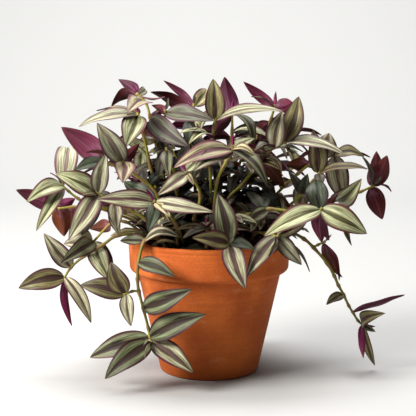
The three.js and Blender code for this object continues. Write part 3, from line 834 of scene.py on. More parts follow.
def smooth_line(nodes, steps):
    """A Catmull-Rom line through the nodes: in each span the point is a cubic in t
    whose slope at a node is half the way from the node before to the node after.
    Returns the points, their tangents and how many spans along each lies."""
    p = np.array(nodes, float)
    p = np.vstack([2 * p[0] - p[1], p, 2 * p[-1] - p[-2]])
    spans = np.arange(len(nodes) - 1)
    t = np.linspace(0, 1, steps, endpoint=False)[None, :, None]
    a, b, c, d = (p[spans + i][:, None, :] for i in range(4))
    curve = b + 0.5 * t * (c - a + t * (2 * a - 5 * b + 4 * c - d + t * (3 * (b - c) + d - a)))
    points = np.vstack([curve.reshape(-1, 3), p[-2]])
    tangents = np.gradient(points, axis=0)
    tangents /= np.linalg.norm(tangents, axis=1, keepdims=True)
    return points, tangents, np.arange(len(points)) / steps


def ring_faces(rows, columns, first):
    """Faces of a closed skin over rings, between a first and a last end point."""
    i = np.arange(columns)
    j = (i + 1) % columns
    start = [(first, first + 1 + b, first + 1 + a) for a, b in zip(i, j)]
    base = first + 1 + np.arange(rows - 1)[:, None] * columns
    corners = [base + i, base + j, base + columns + j, base + columns + i]
    quads = np.stack(corners, axis=-1).reshape(-1, 4)
    last = first + 1 + rows * columns
    end = [(last, last - columns + a, last - columns + b) for a, b in zip(i, j)]
    return start + quads.tolist() + end


def grid_faces(rows, columns, closed):
    """Faces of a grid, which closes on itself both ways or is open at its edges."""
    i = np.arange(rows if closed else rows - 1)[:, None]
    j = np.arange(columns if closed else columns - 1)[None, :]
    k, m = (i + 1) % rows, (j + 1) % columns
    corners = [i * columns + j, i * columns + m, k * columns + m, k * columns + j]
    return np.stack(corners, axis=-1).reshape(-1, 4)


def linked(name, data):
    """A new object at the origin, linked to the scene."""
    obj = bpy.data.objects.new(name, data)
    bpy.context.scene.collection.objects.link(obj)
    return obj


class Skin:
    """Gathers skins into one mesh: points, faces, a UV, colours and numbers by point, a
    material by face, and the points whose joining edges stay sharp."""

    COLOURS = ("band", "stripe", "margin", "under")
    NUMBERS = ("leaf_draw", "reach")

    def __init__(self):
        self.points, self.faces, self.slots, self.uvs, self.sharp = [], [], [], [], []
        self.numbers = {name: [] for name in self.NUMBERS}
        self.tones = {name: [] for name in self.COLOURS}

    def add(self, points, faces, slots, uvs, sharp, tones, numbers):
        """Adds one skin. A tone is one colour for all its points, or one for each."""
        count = len(points)
        self.points.append(points)
        self.faces += faces
        self.slots += slots
        self.uvs.append(uvs)
        self.sharp.append(sharp)
        for name, number in zip(self.NUMBERS, numbers):
            self.numbers[name].append(np.full(count, number))
        for name, tone in tones.items():
            self.tones[name].append(np.broadcast_to(tone, (count, 3)))

    def size(self):
        """How many points there are so far."""
        return sum(len(points) for points in self.points)

    def build(self, name, materials):
        """The object, at the origin, in metres."""
        points = np.vstack(self.points) * MM
        mesh = bpy.data.meshes.new(name)
        mesh.from_pydata(points.tolist(), [], self.faces)
        for material in materials:
            mesh.materials.append(material)
        mesh.polygons.foreach_set("material_index", np.array(self.slots, np.int32))
        mesh.polygons.foreach_set("use_smooth", np.ones(len(mesh.polygons), bool))
        corners = np.empty(len(mesh.loops), np.int32)
        mesh.loops.foreach_get("vertex_index", corners)
        uv = mesh.uv_layers.new(name="UVMap")
        uv.data.foreach_set("uv", np.vstack(self.uvs)[corners].astype(np.float32).ravel())
        for name_of_tone, values in self.tones.items():
            layer = mesh.attributes.new(name_of_tone, "FLOAT_COLOR", "POINT")
            opaque = np.ones((len(points), 4), np.float32)
            opaque[:, :3] = np.vstack(values)
            layer.data.foreach_set("color", opaque.ravel())
        for name_of_number, values in self.numbers.items():
            layer = mesh.attributes.new(name_of_number, "FLOAT", "POINT")
            layer.data.foreach_set("value", np.concatenate(values).astype(np.float32))
        ends = np.empty(len(mesh.edges) * 2, np.int32)
        mesh.edges.foreach_get("vertices", ends)
        flags = np.concatenate(self.sharp)[ends.reshape(-1, 2)]
        mesh.edges.foreach_set("use_edge_sharp", flags.all(axis=1))
        mesh.update()
        mesh.validate()
        return linked(name, mesh)


def half_width(s):
    """Half a blade's width at s, from 0 at its foot to 1 at its tip: a sine of s to the
    power BLADE_LEAN, itself to the power BLADE_FULLNESS."""
    return 0.5 * np.sin(np.pi * np.clip(s, 0, 1) ** BLADE_LEAN) ** BLADE_FULLNESS


def leaf_points(leaf, grid, look, draw):
    """A blade's ring of points at each row: the upper face from its left to its right
    edge, then the underside back. Across the blade each half rises from the rib as a
    fold plus a low bulge, the rib arches as a parabola and bows aside as a sine, and
    the edges wave as a sine. Rows crowd towards both ends, by a sine."""
    columns, rows = grid
    s = np.linspace(0, 1, rows + 2)[1:-1]
    s = s - ROW_CROWDING * np.sin(2 * np.pi * s)
    axis = leaf["tip"] - leaf["foot"]
    length = np.linalg.norm(axis)
    axis = axis / length
    up = square_to(axis, leaf["face"])
    side = np.cross(axis, up)
    u = np.linspace(-1, 1, columns)
    half = (leaf["width"] * half_width(s))[:, None]
    rise = leaf["arch"] * length * 4 * s * (1 - s)
    bulge = look.bulge * np.sin(np.pi * np.abs(u))
    phase = 0.5 * np.sign(u) * draw() + draw()
    wave = look.wave / MM * np.sin(2 * np.pi * (WAVES * s[:, None] + phase)) * u**2
    bow = look.bow * (draw() - 0.5) * length * np.sin(np.pi * s)
    lift = half * (BLADE_FOLD * np.abs(u) + bulge) + wave * np.minimum(half / WAVE_HALF, 1)
    rib = leaf["foot"] + axis * (s * length)[:, None] + up * rise[:, None] + side * bow[:, None]
    upper = rib[:, None] + side * (half * u)[..., None] + up * lift[..., None]
    thinner = look.edge_thickness - look.rib_thickness
    thick = (look.rib_thickness + thinner * np.abs(u[1:-1]) ** THINNING) / MM
    lower = (upper[:, 1:-1] - up * thick[:, None])[:, ::-1]
    ring = np.concatenate([upper, lower], axis=1)
    across = (u + 1) / 2
    ring_across = np.concatenate([across, across[1:-1][::-1]])
    uvs = np.stack(np.broadcast_arrays(ring_across[None, :], s[:, None]), axis=-1)
    return ring, uvs


def add_leaf(skin, leaf, grid, look, draw):
    """Adds one leaf, closed at its foot and its tip."""
    ring, uvs = leaf_points(leaf, grid, look, draw)
    columns, rows = ring.shape[1], grid[1]
    points = np.vstack([leaf["foot"], ring.reshape(-1, 3), leaf["tip"]])
    uv = np.vstack([[0.5, 0.0], uvs.reshape(-1, 2), [0.5, 1.0]])
    faces = [tuple(reversed(face)) for face in ring_faces(rows, columns, skin.size())]
    under = (np.arange(columns) >= grid[0] - 1).astype(int)
    slots = np.tile(under, rows + 1).tolist()
    edge = np.zeros(columns, bool)
    edge[[0, grid[0] - 1]] = True
    sharp = np.concatenate([[True], np.tile(edge, rows), [True]])
    skin.add(points, faces, slots, uv, sharp, leaf["tones"], (draw(), leaf["reach"]))


def carried_circle(points, tangents, radius, angle):
    """A circle carried along a line, turned as little as the line's way allows."""
    side = square_to(tangents[0], np.array([1.0, 0.0, 0.0]))
    rings = []
    for point, along, r in zip(points, tangents, radius):
        side = square_to(along, side)
        turn = np.cos(angle)[:, None] * side + np.sin(angle)[:, None] * np.cross(along, side)
        rings.append(point + r * turn)
    return np.array(rings)


def stalk_tones(points, t, sheath, bare, draw):
    """A stalk's colour at each ring: dark near the soil, where its browner foot also takes
    painted shade, then green, yellower towards its tip as the square of t, and reddish
    at its sheaths."""
    low, middle, high = (colour(code) for code in STALK_COLOURS)
    away = np.linalg.norm(points - points[0], axis=1)
    green = np.clip((away - STALK_DARK) / STALK_GREENING, 0, 1)[:, None]
    green = np.maximum(green, 0.0 if bare else 1.0)
    end = (t**2)[:, None]
    cover = SHEATH_COVER * sheath[:, None]
    tone = (low * (1 - green) + middle * green) * (1 - end) + high * end
    tone = tone * (1 - cover) + colour(SHEATH_COLOUR) * cover
    return tone * between(STALK_LIGHTS, draw)


def add_stalk(skin, nodes, foot_radius, bare, draw):
    """Adds a stalk: a circle carried along a smooth line, thinner towards its tip. Past
    its bare nodes each node swells as a bell curve and carries a sheath after it."""
    points, tangents, spans = smooth_line(nodes, STALK_STEPS)
    t = spans / (len(nodes) - 1)
    past = spans - np.round(spans)
    leafy = np.round(spans) >= bare
    swell = np.exp(-((past / NODE_LENGTH) ** 2)) * leafy
    sheath = np.exp(-(((past - SHEATH_PLACE) / SHEATH_LENGTH) ** 2)) * leafy
    thick = STALK_SLIM + NODE_SWELL * swell + SHEATH_SWELL * sheath
    radius = (foot_radius + (STALK_TIP_RADIUS - foot_radius) * t) * thick
    angle = np.linspace(0, 2 * np.pi, STALK_SIDES, endpoint=False)
    rings = carried_circle(points, tangents, radius, angle)
    faces = ring_faces(len(rings), STALK_SIDES, skin.size())
    skin_points = np.vstack([points[0], rings.reshape(-1, 3), points[-1]])
    tone = stalk_tones(points, t, sheath, bare, draw)
    tones = np.vstack([tone[0], np.repeat(tone, STALK_SIDES, axis=0), tone[-1]])
    uv = np.stack(np.broadcast_arrays((angle / 2 / np.pi)[None, :], spans[:, None]), axis=-1)
    uvs = np.vstack([[0.5, 0.0], uv.reshape(-1, 2), [0.5, spans[-1]]])
    sharp = np.zeros(len(skin_points), bool)
    same = {name: tones for name in Skin.COLOURS}
    skin.add(skin_points, faces, [2] * len(faces), uvs, sharp, same, (draw(), 0.0))


def painted_inner_shade(leaf):
    """The painted shade on a leaf: the share of its colour kept, from SHADE_LEAST deep inside to
    1.
    """
    x, y, z = 0.5 * (leaf["foot"] + leaf["tip"])
    forwards = min(y, 0.0) * SHADE_FORWARDS
    upwards = max(0.0, z - SHADE_HEIGHT) * SHADE_UPWARDS
    share = (math.hypot(x, forwards, upwards) - SHADE_START) / SHADE_SPAN
    return SHADE_LEAST + (1 - SHADE_LEAST) * min(1.0, max(0.0, share))


def dressed(leaf, draw):
    """A leaf with its own colours: the read look where it has one, or else one drawn
    from the inner or the outer looks, each a little lighter or darker than its kind, and
    darkened and warmed inside the plant by painted shade."""
    outer = np.hypot(*leaf["tip"][:2]) > OUTER_RADIUS or leaf["tip"][2] > OUTER_HEIGHT
    uppers = OUTER_UPPERS if outer else INNER_UPPERS
    unders = OUTER_UNDERS if outer else INNER_UNDERS
    upper = uppers[int(draw() * len(uppers))]
    under = unders[int(draw() * len(unders))]
    tint = leaf.get("tint")
    upper = tint if tint in UPPERS else upper
    under = tint if tint in UNDERS else under
    shade = painted_inner_shade(leaf)
    # Painted shade: the colours are darkened and warmed by how deep inside the plant the leaf lies
    light = between(LEAF_LIGHTS, draw) * shade * (1 - (1 - shade) * PAINTED_SHADE_LOSS)
    *codes, reach = UPPERS[upper]
    band, stripe, margin, below = (colour(code) * light for code in (*codes, UNDERS[under]))
    tones = dict(band=band, stripe=stripe, margin=margin, under=below)
    return dict(leaf, tones=tones, reach=reach + between(STRIPE_REACHES, draw))


def old_leaves(nodes, draw):
    """Small dull leaves between a shoot's nodes deep inside the plant. Those of the
    front stems point away from the observer."""
    points, _, spans = smooth_line(nodes, OLD_STEPS)
    leaves = []
    for point, span in zip(points, spans):
        near = math.hypot(point[0], point[1]) < OLD_RADIUS
        inside = near and SOIL_TOP + OLD_LOW < point[2] < OLD_HIGH
        wanted = draw() < OLD_SHARE
        heading = between(OLD_HEADINGS, draw)
        if point[1] < -OLD_FRONT:
            heading = between(OLD_FRONT_HEADINGS, draw)
        lift = between(OLD_LIFTS, draw)
        length = between(OLD_LENGTHS, draw)
        face = np.array([draw() - 0.5, draw() - 0.9, 1.0])
        leaf = leaf_towards(point, math.radians(heading), math.radians(lift), length, face, draw)
        if inside and wanted and span > OLD_START:
            leaves.append(leaf)
    return leaves


def young_leaf(nodes, draw):
    """The rolled young leaf at a shoot's end: a narrow blade that points on along it."""
    along = unit(nodes[-1] - nodes[-2])
    lean = np.array([draw() - 0.5, draw() - 0.5, 0.9])
    length = between(YOUNG_LENGTHS, draw)
    tip = nodes[-1] + unit(along + YOUNG_LEAN * lean) * length
    tint = "magenta" if draw() < 0.5 else "green"
    face = OBSERVER - tip if tint == "green" else tip - OBSERVER
    width = YOUNG_WIDTH * length
    return dict(foot=nodes[-1], tip=tip, face=face, width=width, arch=YOUNG_ARCH, tint=tint)


def past_end(nodes):
    """A shoot's nodes with its end carried a little past the last one."""
    return [*nodes[:-1], nodes[-1] + STALK_END * unit(nodes[-1] - nodes[-2])]


def build_stem(stem, seed, look, materials):
    """One leafy stem: its stalks and its leaves in one mesh."""
    draw = draws(STEM_SEED + seed)
    skin = Skin()
    foot = root_point(stem)
    ground = np.array([foot[0], foot[1], SOIL_TOP + ROOT_RISE])
    shoots = [past_end(nodes) for nodes in stem["shoots"]]
    add_stalk(skin, [foot, ground, *shoots[0]], STALK_FOOT_RADIUS, BARE_NODES, draw)
    for side in shoots[1:]:
        add_stalk(skin, side, STALK_TIP_RADIUS, 0, draw)
    grown = [(leaf, READ_GRID if "read" in leaf else RULE_GRID) for leaf in stem["leaves"]]
    grown += [(leaf, SMALL_GRID) for leaf in old_leaves([ground, *shoots[0]], draw)]
    grown += [(young_leaf(nodes, draw), SMALL_GRID) for nodes in shoots]
    for leaf, grid in grown:
        add_leaf(skin, dressed(leaf, draw), grid, look, draw)
    obj = skin.build("leaves_" + stem["name"], materials)
    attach(obj, BODY)
    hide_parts(stem["name"])
    return obj


def lathe_points(profile, turns):
    """A profile of (radius, height) turned about the upright axis, as a closed grid."""
    angle = np.linspace(0, 2 * np.pi, turns, endpoint=False)
    radius, height = np.array(profile, float).T
    x = radius[:, None] * np.cos(angle)
    y = radius[:, None] * np.sin(angle)
    return np.stack(np.broadcast_arrays(x, y, height[:, None]), axis=-1)


def plain_object(name, points, material, closed=True):
    """A smooth object at the origin, from a grid of points in millimetres."""
    faces = grid_faces(*points.shape[:2], closed)
    mesh = bpy.data.meshes.new(name)
    mesh.from_pydata((points.reshape(-1, 3) * MM).tolist(), [], faces.tolist())
    mesh.materials.append(material)
    mesh.polygons.foreach_set("use_smooth", np.ones(len(mesh.polygons), bool))
    mesh.update()
    return linked(name, mesh)


def arc(centre, radius, start, stop, steps):
    """Points (radius, height) on an arc, between two angles in degrees."""
    angle = np.radians(np.linspace(start, stop, steps))
    return [(centre[0] + radius * math.cos(a), centre[1] + radius * math.sin(a)) for a in angle]


def straight(start, stop, steps):
    """Points (radius, height) spread evenly from start up to stop, without stop."""
    return [tuple(p) for p in np.linspace(start, stop, steps, endpoint=False)]


def pot_profile(look):
    """The pot's section, out from the drain hole, up the outside with a groove under
    its collar, and down the inside. The line under its rim is as deep as a bell curve
    of the height."""
    lip = RIM_RADIUS - COLLAR_TAPER
    mouth = RIM_RADIUS - WALL
    neck_inside = (NECK_RADIUS - WALL, NECK_TOP)
    neck_foot = (FOOT_RADIUS + JOIN, EDGE_ROUND + 0.8)
    neck_end = (NECK_RADIUS - JOIN, NECK_TOP - 1.2)
    groove = (NECK_RADIUS + GROOVE_ROUND, NECK_TOP + JOIN)
    lip_centre = (lip - LIP_ROUND, NECK_TOP + LIP_ROUND + JOIN)
    collar_foot = (lip, NECK_TOP + LIP_ROUND + 1.0)
    collar_end = (RIM_RADIUS, POT_HEIGHT - RIM_ROUND - JOIN)
    out = straight((DRAIN_RADIUS, 0), (FOOT_RADIUS - EDGE_ROUND, 0), 8)
    out += arc((FOOT_RADIUS - EDGE_ROUND, EDGE_ROUND), EDGE_ROUND, -90, -12, 6)
    out += straight(neck_foot, neck_end, 26)
    out += arc(groove, GROOVE_ROUND, 180, 30, 8)
    out += arc(lip_centre, LIP_ROUND, -80, -2, 10)
    collar = np.array(straight(collar_foot, collar_end, 40))
    below_rim = POT_HEIGHT - RIM_LINE - collar[:, 1]
    collar[:, 0] -= look.line_depth / MM * np.exp(-(below_rim / RIM_LINE_WIDTH) ** 2)
    out += collar.tolist()
    out += arc((RIM_RADIUS - RIM_ROUND, POT_HEIGHT - RIM_ROUND), RIM_ROUND, 0, 90, 6)
    level = (mouth + MOUTH_ROUND + JOIN, POT_HEIGHT)
    out += straight((RIM_RADIUS - RIM_ROUND - 0.7, POT_HEIGHT), level, 3)
    out += arc((mouth + MOUTH_ROUND, POT_HEIGHT - MOUTH_ROUND), MOUTH_ROUND, 90, 180, 4)
    out += straight((mouth, POT_HEIGHT - MOUTH_ROUND - 0.8), neck_inside, 8)
    out += straight(neck_inside, (FOOT_RADIUS - WALL, FLOOR), 8)
    out += straight((FOOT_RADIUS - WALL, FLOOR), (DRAIN_RADIUS, FLOOR), 4)
    out += straight((DRAIN_RADIUS, FLOOR), (DRAIN_RADIUS, 0), 2)
    return out


def wander(points, seed, count, longest, shortest):
    """A smooth random height at each point: a sum of sine waves with drawn directions,
    whose lengths run from longest to shortest, and whose heights fall as the lengths to
    the power WANDER_FALL."""
    draw = draws(seed)
    total = np.zeros(points.shape[:-1])
    for i in range(count):
        length = longest * (shortest / longest) ** (i / max(1, count - 1))
        heading = 2 * math.pi * draw()
        phase = 2 * math.pi * draw()
        along = points[..., 0] * math.cos(heading) + points[..., 1] * math.sin(heading)
        total += (length / longest) ** WANDER_FALL * np.sin(2 * math.pi * along / length + phase)
    return total / math.sqrt(count)


def soil_grid(look):
    """The soil's skin: down its side as rings, with a top of rings whose height wanders
    in crumbs, and a flat floor."""
    share = (SOIL_TOP - NECK_TOP) / (POT_HEIGHT - 1 - NECK_TOP)
    top_radius = NECK_RADIUS - WALL + share * (RIM_RADIUS - NECK_RADIUS) - SOIL_GAP
    bottom = FLOOR + SOIL_GAP
    foot = (FOOT_RADIUS - WALL - SOIL_GAP, bottom)
    side = [(SOIL_HOLE, bottom), foot, (NECK_RADIUS - WALL - SOIL_GAP, NECK_TOP)]
    profile = side + [(r, SOIL_TOP) for r in np.linspace(top_radius, SOIL_HOLE, SOIL_RINGS)]
    points = lathe_points(profile, SOIL_TURNS)
    top = points[len(side) + 1 :]
    crumbs = wander(top, CRUMB_SEED, CRUMB_WAVES, CRUMB_LONGEST, CRUMB_SHORTEST)
    inwards = top_radius - np.hypot(top[..., 0], top[..., 1])
    top[..., 2] += look.relief / MM * crumbs * np.clip(inwards / CRUMB_FADE, 0, 1)
    return points


def backdrop_grid():
    """The floor and the wall behind it, in rows from the front: level, then round a
    quarter circle, then up."""
    bend = np.linspace(0.1, np.pi / 2, BEND_ROWS)
    level = np.linspace(FLOOR_FRONT, BEND_START, FLOOR_ROWS)
    back = BEND_START + BEND_RADIUS
    y = np.concatenate([level, BEND_START + BEND_RADIUS * np.sin(bend), [back]])
    z = np.concatenate([0 * level, BEND_RADIUS - BEND_RADIUS * np.cos(bend), [WALL_TOP]])
    x = np.linspace(-FLOOR_SIDE, FLOOR_SIDE, FLOOR_COLUMNS)
    return np.stack(np.broadcast_arrays(x[None, :], y[:, None], z[:, None]), axis=-1)


class Shader:
    """A material that is put together step by step."""

    def __init__(self, name):
        self.material = bpy.data.materials.new(name)
        self.material.use_nodes = True
        self.tree = self.material.node_tree
        self.surface = self.tree.nodes["Principled BSDF"]

    def feed(self, socket, value):
        """Sets a socket to a value, or links it to the socket that gives one."""
        if isinstance(value, bpy.types.NodeSocket):
            self.tree.links.new(value, socket)
        else:
            socket.default_value = value

    def add(self, kind, *values, **named):
        """A node, placed to the left of the surface. Its first sockets take the values,
        and others the named ones."""
        node = self.tree.nodes.new(kind)
        column, row = divmod(len(self.tree.nodes), 5)
        node.location = (-200 * column, 400 - 180 * row)
        for socket, value in zip(node.inputs, values):
            self.feed(socket, value)
        for name, value in named.items():
            self.feed(node.inputs[name], value)
        return node

    def reckon(self, operation, *values):
        """A Math node's result."""
        node = self.add("ShaderNodeMath", *values)
        node.operation = operation
        return node.outputs[0]

    def scaled(self, value, by, plus):
        """A number times another one, plus a third."""
        return self.reckon("MULTIPLY_ADD", value, by, plus)

    def share(self, value, of):
        """A number times another one."""
        return self.reckon("MULTIPLY", value, of)

    def rest(self, value):
        """What a share leaves of the whole."""
        return self.reckon("SUBTRACT", 1.0, value)

    def either(self, a, b):
        """The larger of two shares."""
        return self.reckon("MAXIMUM", a, b)

    def step_up(self, value, low, high):
        """0 below low and 1 above high, smoothly between."""
        node = self.add("ShaderNodeMapRange", value, low, high)
        node.interpolation_type = "SMOOTHSTEP"
        return node.outputs[0]

    def blend(self, share, a, b):
        """Colour a at share 0 and colour b at share 1."""
        node = self.add("ShaderNodeMix")
        node.data_type = "RGBA"
        for index, value in ((0, share), (6, a), (7, b)):
            self.feed(node.inputs[index], value)
        return node.outputs[2]

    def lit(self, tone, light):
        """A colour made lighter or darker by a number."""
        node = self.add("ShaderNodeVectorMath", tone)
        node.operation = "SCALE"
        self.feed(node.inputs["Scale"], light)
        return node.outputs[0]

    def tinted(self, tone, tint):
        """A colour multiplied by another one, channel by channel."""
        node = self.add("ShaderNodeVectorMath", tone, tint)
        node.operation = "MULTIPLY"
        return node.outputs[0]

    def tone(self, name):
        """One of the mesh's colours by point."""
        node = self.add("ShaderNodeAttribute")
        node.attribute_name = name
        return node.outputs["Color"]

    def number(self, name):
        """One of the mesh's numbers by point."""
        node = self.add("ShaderNodeAttribute")
        node.attribute_name = name
        return node.outputs["Fac"]

    def noise(self, vector, scale, detail, roughness=0.5):
        """A noise from 0 to 1 at a vector."""
        node = self.add("ShaderNodeTexNoise", Vector=vector, Scale=scale, Detail=detail)
        self.feed(node.inputs["Roughness"], roughness)
        return node.outputs["Fac"]

    def vector(self, x, y, z):
        """A vector of three numbers."""
        return self.add("ShaderNodeCombineXYZ", x, y, z).outputs[0]

    def place(self, scale=(1, 1, 1)):
        """The place on the object, stretched."""
        place = self.add("ShaderNodeTexCoord").outputs["Object"]
        return self.add("ShaderNodeMapping", Vector=place, Scale=scale).outputs[0]

    def blade(self):
        """The place across and along a blade or a stalk, and its own number."""
        uv = self.add("ShaderNodeUVMap")
        uv.uv_map = "UVMap"
        split = self.add("ShaderNodeSeparateXYZ", uv.outputs[0])
        own = self.share(self.number("leaf_draw"), of=OWN_SPREAD)
        return split.outputs[0], split.outputs[1], own

    def from_rib(self, across):
        """How far out from its rib a place on a blade lies, 1 at the margin."""
        return self.reckon("ABSOLUTE", self.scaled(across, by=2.0, plus=-1.0))

    def streaks(self, across, along, own, count, detail):
        """Streaks along a blade, so many across it, from 0 to 1."""
        vector = self.vector(self.share(across, of=count), along, own)
        fac = self.noise(vector, scale=1.5, detail=detail, roughness=0.6)
        return self.step_up(fac, low=0.25, high=0.75)

    def finish(self, tone, roughness, specular, height=None, depth=0.0, strength=0.0):
        """Gives the surface its colour, roughness and specular level, and where there
        is a height, a bump with a depth in metres."""
        self.feed(self.surface.inputs["Base Color"], tone)
        self.feed(self.surface.inputs["Roughness"], roughness)
        self.feed(self.surface.inputs["Specular IOR Level"], specular)
        if height is not None:
            bump = self.add("ShaderNodeBump", Height=height, Distance=depth, Strength=strength)
            self.feed(self.surface.inputs["Normal"], bump.outputs[0])
        return self.material


def upper_leaf_material(look):
    """A leaf's upper face: a dark streaky stripe along the midrib, a pale band on each
    side that is green at its borders and full of crisp streaks, and a purple margin."""
    shader = Shader("leaf_upper")
    across, along, own = shader.blade()
    fine = shader.streaks(across, shader.share(along, of=1.5), own, count=13.0, detail=3.0)
    broad = shader.streaks(across, along, own, count=4.5, detail=1.0)
    drift = shader.streaks(0.0, along, own, count=1.0, detail=0.0)
    away = shader.from_rib(across)
    uneven = shader.scaled(fine, by=0.18, plus=shader.scaled(broad, by=0.14, plus=away))
    reach = shader.reckon("ADD", shader.number("reach"), 0.07)
    half = shader.scaled(drift, by=0.14, plus=reach)
    beyond = shader.reckon("SUBTRACT", uneven, half)
    stripe = shader.rest(shader.step_up(beyond, low=0.0, high=0.1))
    flank = shader.rest(shader.step_up(beyond, low=0.1, high=0.36))
    margin = shader.step_up(shader.scaled(fine, by=0.1, plus=away), low=0.82, high=0.93)
    border = shader.step_up(uneven, low=0.78, high=1.04)
    green = shader.tinted(shader.tone("band"), look.green)
    dull = shader.either(shader.share(flank, of=0.8), shader.rest(fine))
    band = shader.blend(dull, shader.tone("band"), green)
    band = shader.blend(shader.share(border, of=0.6), band, shader.tone("margin"))
    green_leaf = shader.step_up(shader.number("leaf_draw"), low=0.6, high=1.0)
    greener = shader.scaled(broad, by=0.1, plus=shader.share(green_leaf, of=0.4))
    dark = shader.blend(greener, shader.tone("stripe"), (*look.rib, 1))
    base = shader.blend(shader.share(stripe, of=0.94), band, dark)
    tip = shader.share(shader.step_up(along, low=0.88, high=1.0), of=0.5)
    base = shader.blend(shader.either(margin, tip), base, shader.tone("margin"))
    light = shader.scaled(fine, by=0.9, plus=shader.scaled(broad, by=0.15, plus=0.33))
    rough = shader.scaled(stripe, by=0.1, plus=look.leaf_roughness)
    tone = shader.lit(base, light)
    return shader.finish(tone, rough, specular=0.16, height=fine, depth=0.0004, strength=0.3)


def under_leaf_material(look):
    """A leaf's underside: purple to maroon, pinker at its foot, browner in clouds near
    its margin, with a paler rib and fine lengthwise streaks."""
    shader = Shader("leaf_underside")
    across, along, own = shader.blade()
    fine = shader.streaks(across, along, own, count=10.0, detail=3.0)
    clouds = shader.noise(shader.vector(across, along, own), scale=3.2, detail=2.0)
    away = shader.from_rib(across)
    rib = shader.rest(shader.step_up(away, low=0.0, high=0.12))
    foot = shader.rest(shader.step_up(along, low=0.05, high=0.5))
    pink = shader.share(foot, of=shader.step_up(clouds, low=0.4, high=0.62))
    pink = shader.either(shader.share(pink, of=0.65), shader.share(rib, of=0.25))
    base = shader.blend(pink, shader.tone("under"), (*look.pink, 1))
    cloudy = shader.step_up(clouds, low=0.42, high=0.62)
    brown = shader.share(shader.step_up(away, low=0.3, high=1.0), of=cloudy)
    end = shader.share(shader.step_up(along, low=0.45, high=1.0), of=0.6)
    brown = shader.share(shader.either(brown, end), of=0.65)
    base = shader.blend(brown, base, (*look.brown, 1))
    tone = shader.lit(base, shader.scaled(fine, by=0.8, plus=0.6))
    rough = look.under_roughness
    return shader.finish(tone, rough, specular=0.16, height=fine, depth=0.0003, strength=0.3)


def stalk_material(look):
    """A stalk: its own colours by place, with streaks along it."""
    shader = Shader("stalk")
    across, along, own = shader.blade()
    fine = shader.streaks(across, along, own, count=9.0, detail=2.0)
    tone = shader.lit(shader.tone("band"), shader.scaled(fine, by=0.6, plus=0.68))
    rough = look.leaf_roughness
    return shader.finish(tone, rough, specular=0.2, height=fine, depth=0.0003, strength=0.3)


def terracotta_material(look):
    """Fired clay, darker towards its foot as painted shade: orange with soft clouds, faint
    level streaks from the wheel, fine speckles, and a paler bloom in places."""
    shader = Shader("terracotta")
    place = shader.place()
    clouds = shader.noise(place, scale=26.0, detail=4.0, roughness=0.55)
    level = shader.noise(shader.place((6, 6, 260)), scale=1.6, detail=3.0, roughness=0.6)
    grain = shader.noise(place, scale=900.0, detail=2.0, roughness=0.6)
    bloom = shader.noise(shader.place((1, 1, 2.2)), scale=34.0, detail=5.0, roughness=0.62)
    bloom = shader.share(shader.step_up(bloom, low=0.56, high=0.74), of=0.16)
    cloudy = shader.step_up(clouds, low=0.3, high=0.7)
    base = shader.blend(cloudy, (*look.clay_dark, 1), (*look.clay, 1))
    base = shader.blend(bloom, base, (*look.bloom, 1))
    speckles = shader.step_up(shader.noise(place, scale=420.0, detail=1.0), low=0.66, high=0.74)
    base = shader.blend(shader.share(speckles, of=0.35), base, (*look.speckles, 1))
    sandy = shader.scaled(shader.step_up(grain, low=0.3, high=0.7), by=0.22, plus=0.73)
    light = shader.scaled(level, by=0.32, plus=sandy)
    # Painted shade: the clay is made darker from its rim down to its foot
    height = shader.add("ShaderNodeSeparateXYZ", place).outputs[2]
    rise = shader.step_up(height, low=0.0, high=MM * POT_HEIGHT)
    light = shader.share(light, of=shader.scaled(rise, by=0.32, plus=0.73))
    relief = shader.scaled(level, by=0.7, plus=shader.share(grain, of=0.6))
    rough = shader.scaled(clouds, by=0.16, plus=look.clay_roughness - 0.08)
    tone = shader.lit(base, light)
    return shader.finish(tone, rough, specular=0.18, height=relief, depth=0.0005, strength=0.45)


def soil_material(look):
    """Dark moist soil: brown crumbs with paler flecks and fibres."""
    shader = Shader("soil")
    crumbs = shader.noise(shader.place(), scale=260.0, detail=6.0, roughness=0.7)
    flecks = shader.noise(shader.place((1, 1.6, 1)), scale=620.0, detail=2.0)
    flecks = shader.share(shader.step_up(flecks, low=0.66, high=0.72), of=0.5)
    base = shader.blend(crumbs, (*look.dark, 1), (*look.pale, 1))
    tone = shader.blend(flecks, base, (*look.flecks, 1))
    return shader.finish(tone, 0.9, specular=0.25, height=crumbs, depth=0.0016, strength=0.9)


def backdrop_material(look):
    """The plain pale floor and the wall behind it."""
    shader = Shader("backdrop")
    clouds = shader.noise(shader.place(), scale=1.3, detail=2.0)
    darker = [0.985 * channel for channel in look.backdrop]
    tone = shader.blend(clouds, (*look.backdrop, 1), (*darker, 1))
    return shader.finish(tone, 0.85, specular=0.2)


def look_length(name, description, length):
    """A length on the panel, from one in millimetres."""
    return FloatProperty(
        name=name, description=description, default=length * MM, unit="LENGTH", precision=5
    )


def look_share(name, description, default):
    """A share from 0 to 1 on the panel."""
    return FloatProperty(
        name=name, description=description, default=default, min=0, max=1, subtype="FACTOR"
    )


def look_power(name, description, default):
    """A light's power on the panel."""
    return FloatProperty(
        name=name, description=description, default=default, min=0, unit="POWER"
    )


def look_colour(name, description, code):
    """A colour on the panel."""
    default = tuple(float(c) for c in colour(code))
    return FloatVectorProperty(
        name=name, description=description, default=default, size=3, subtype="COLOR"
    )


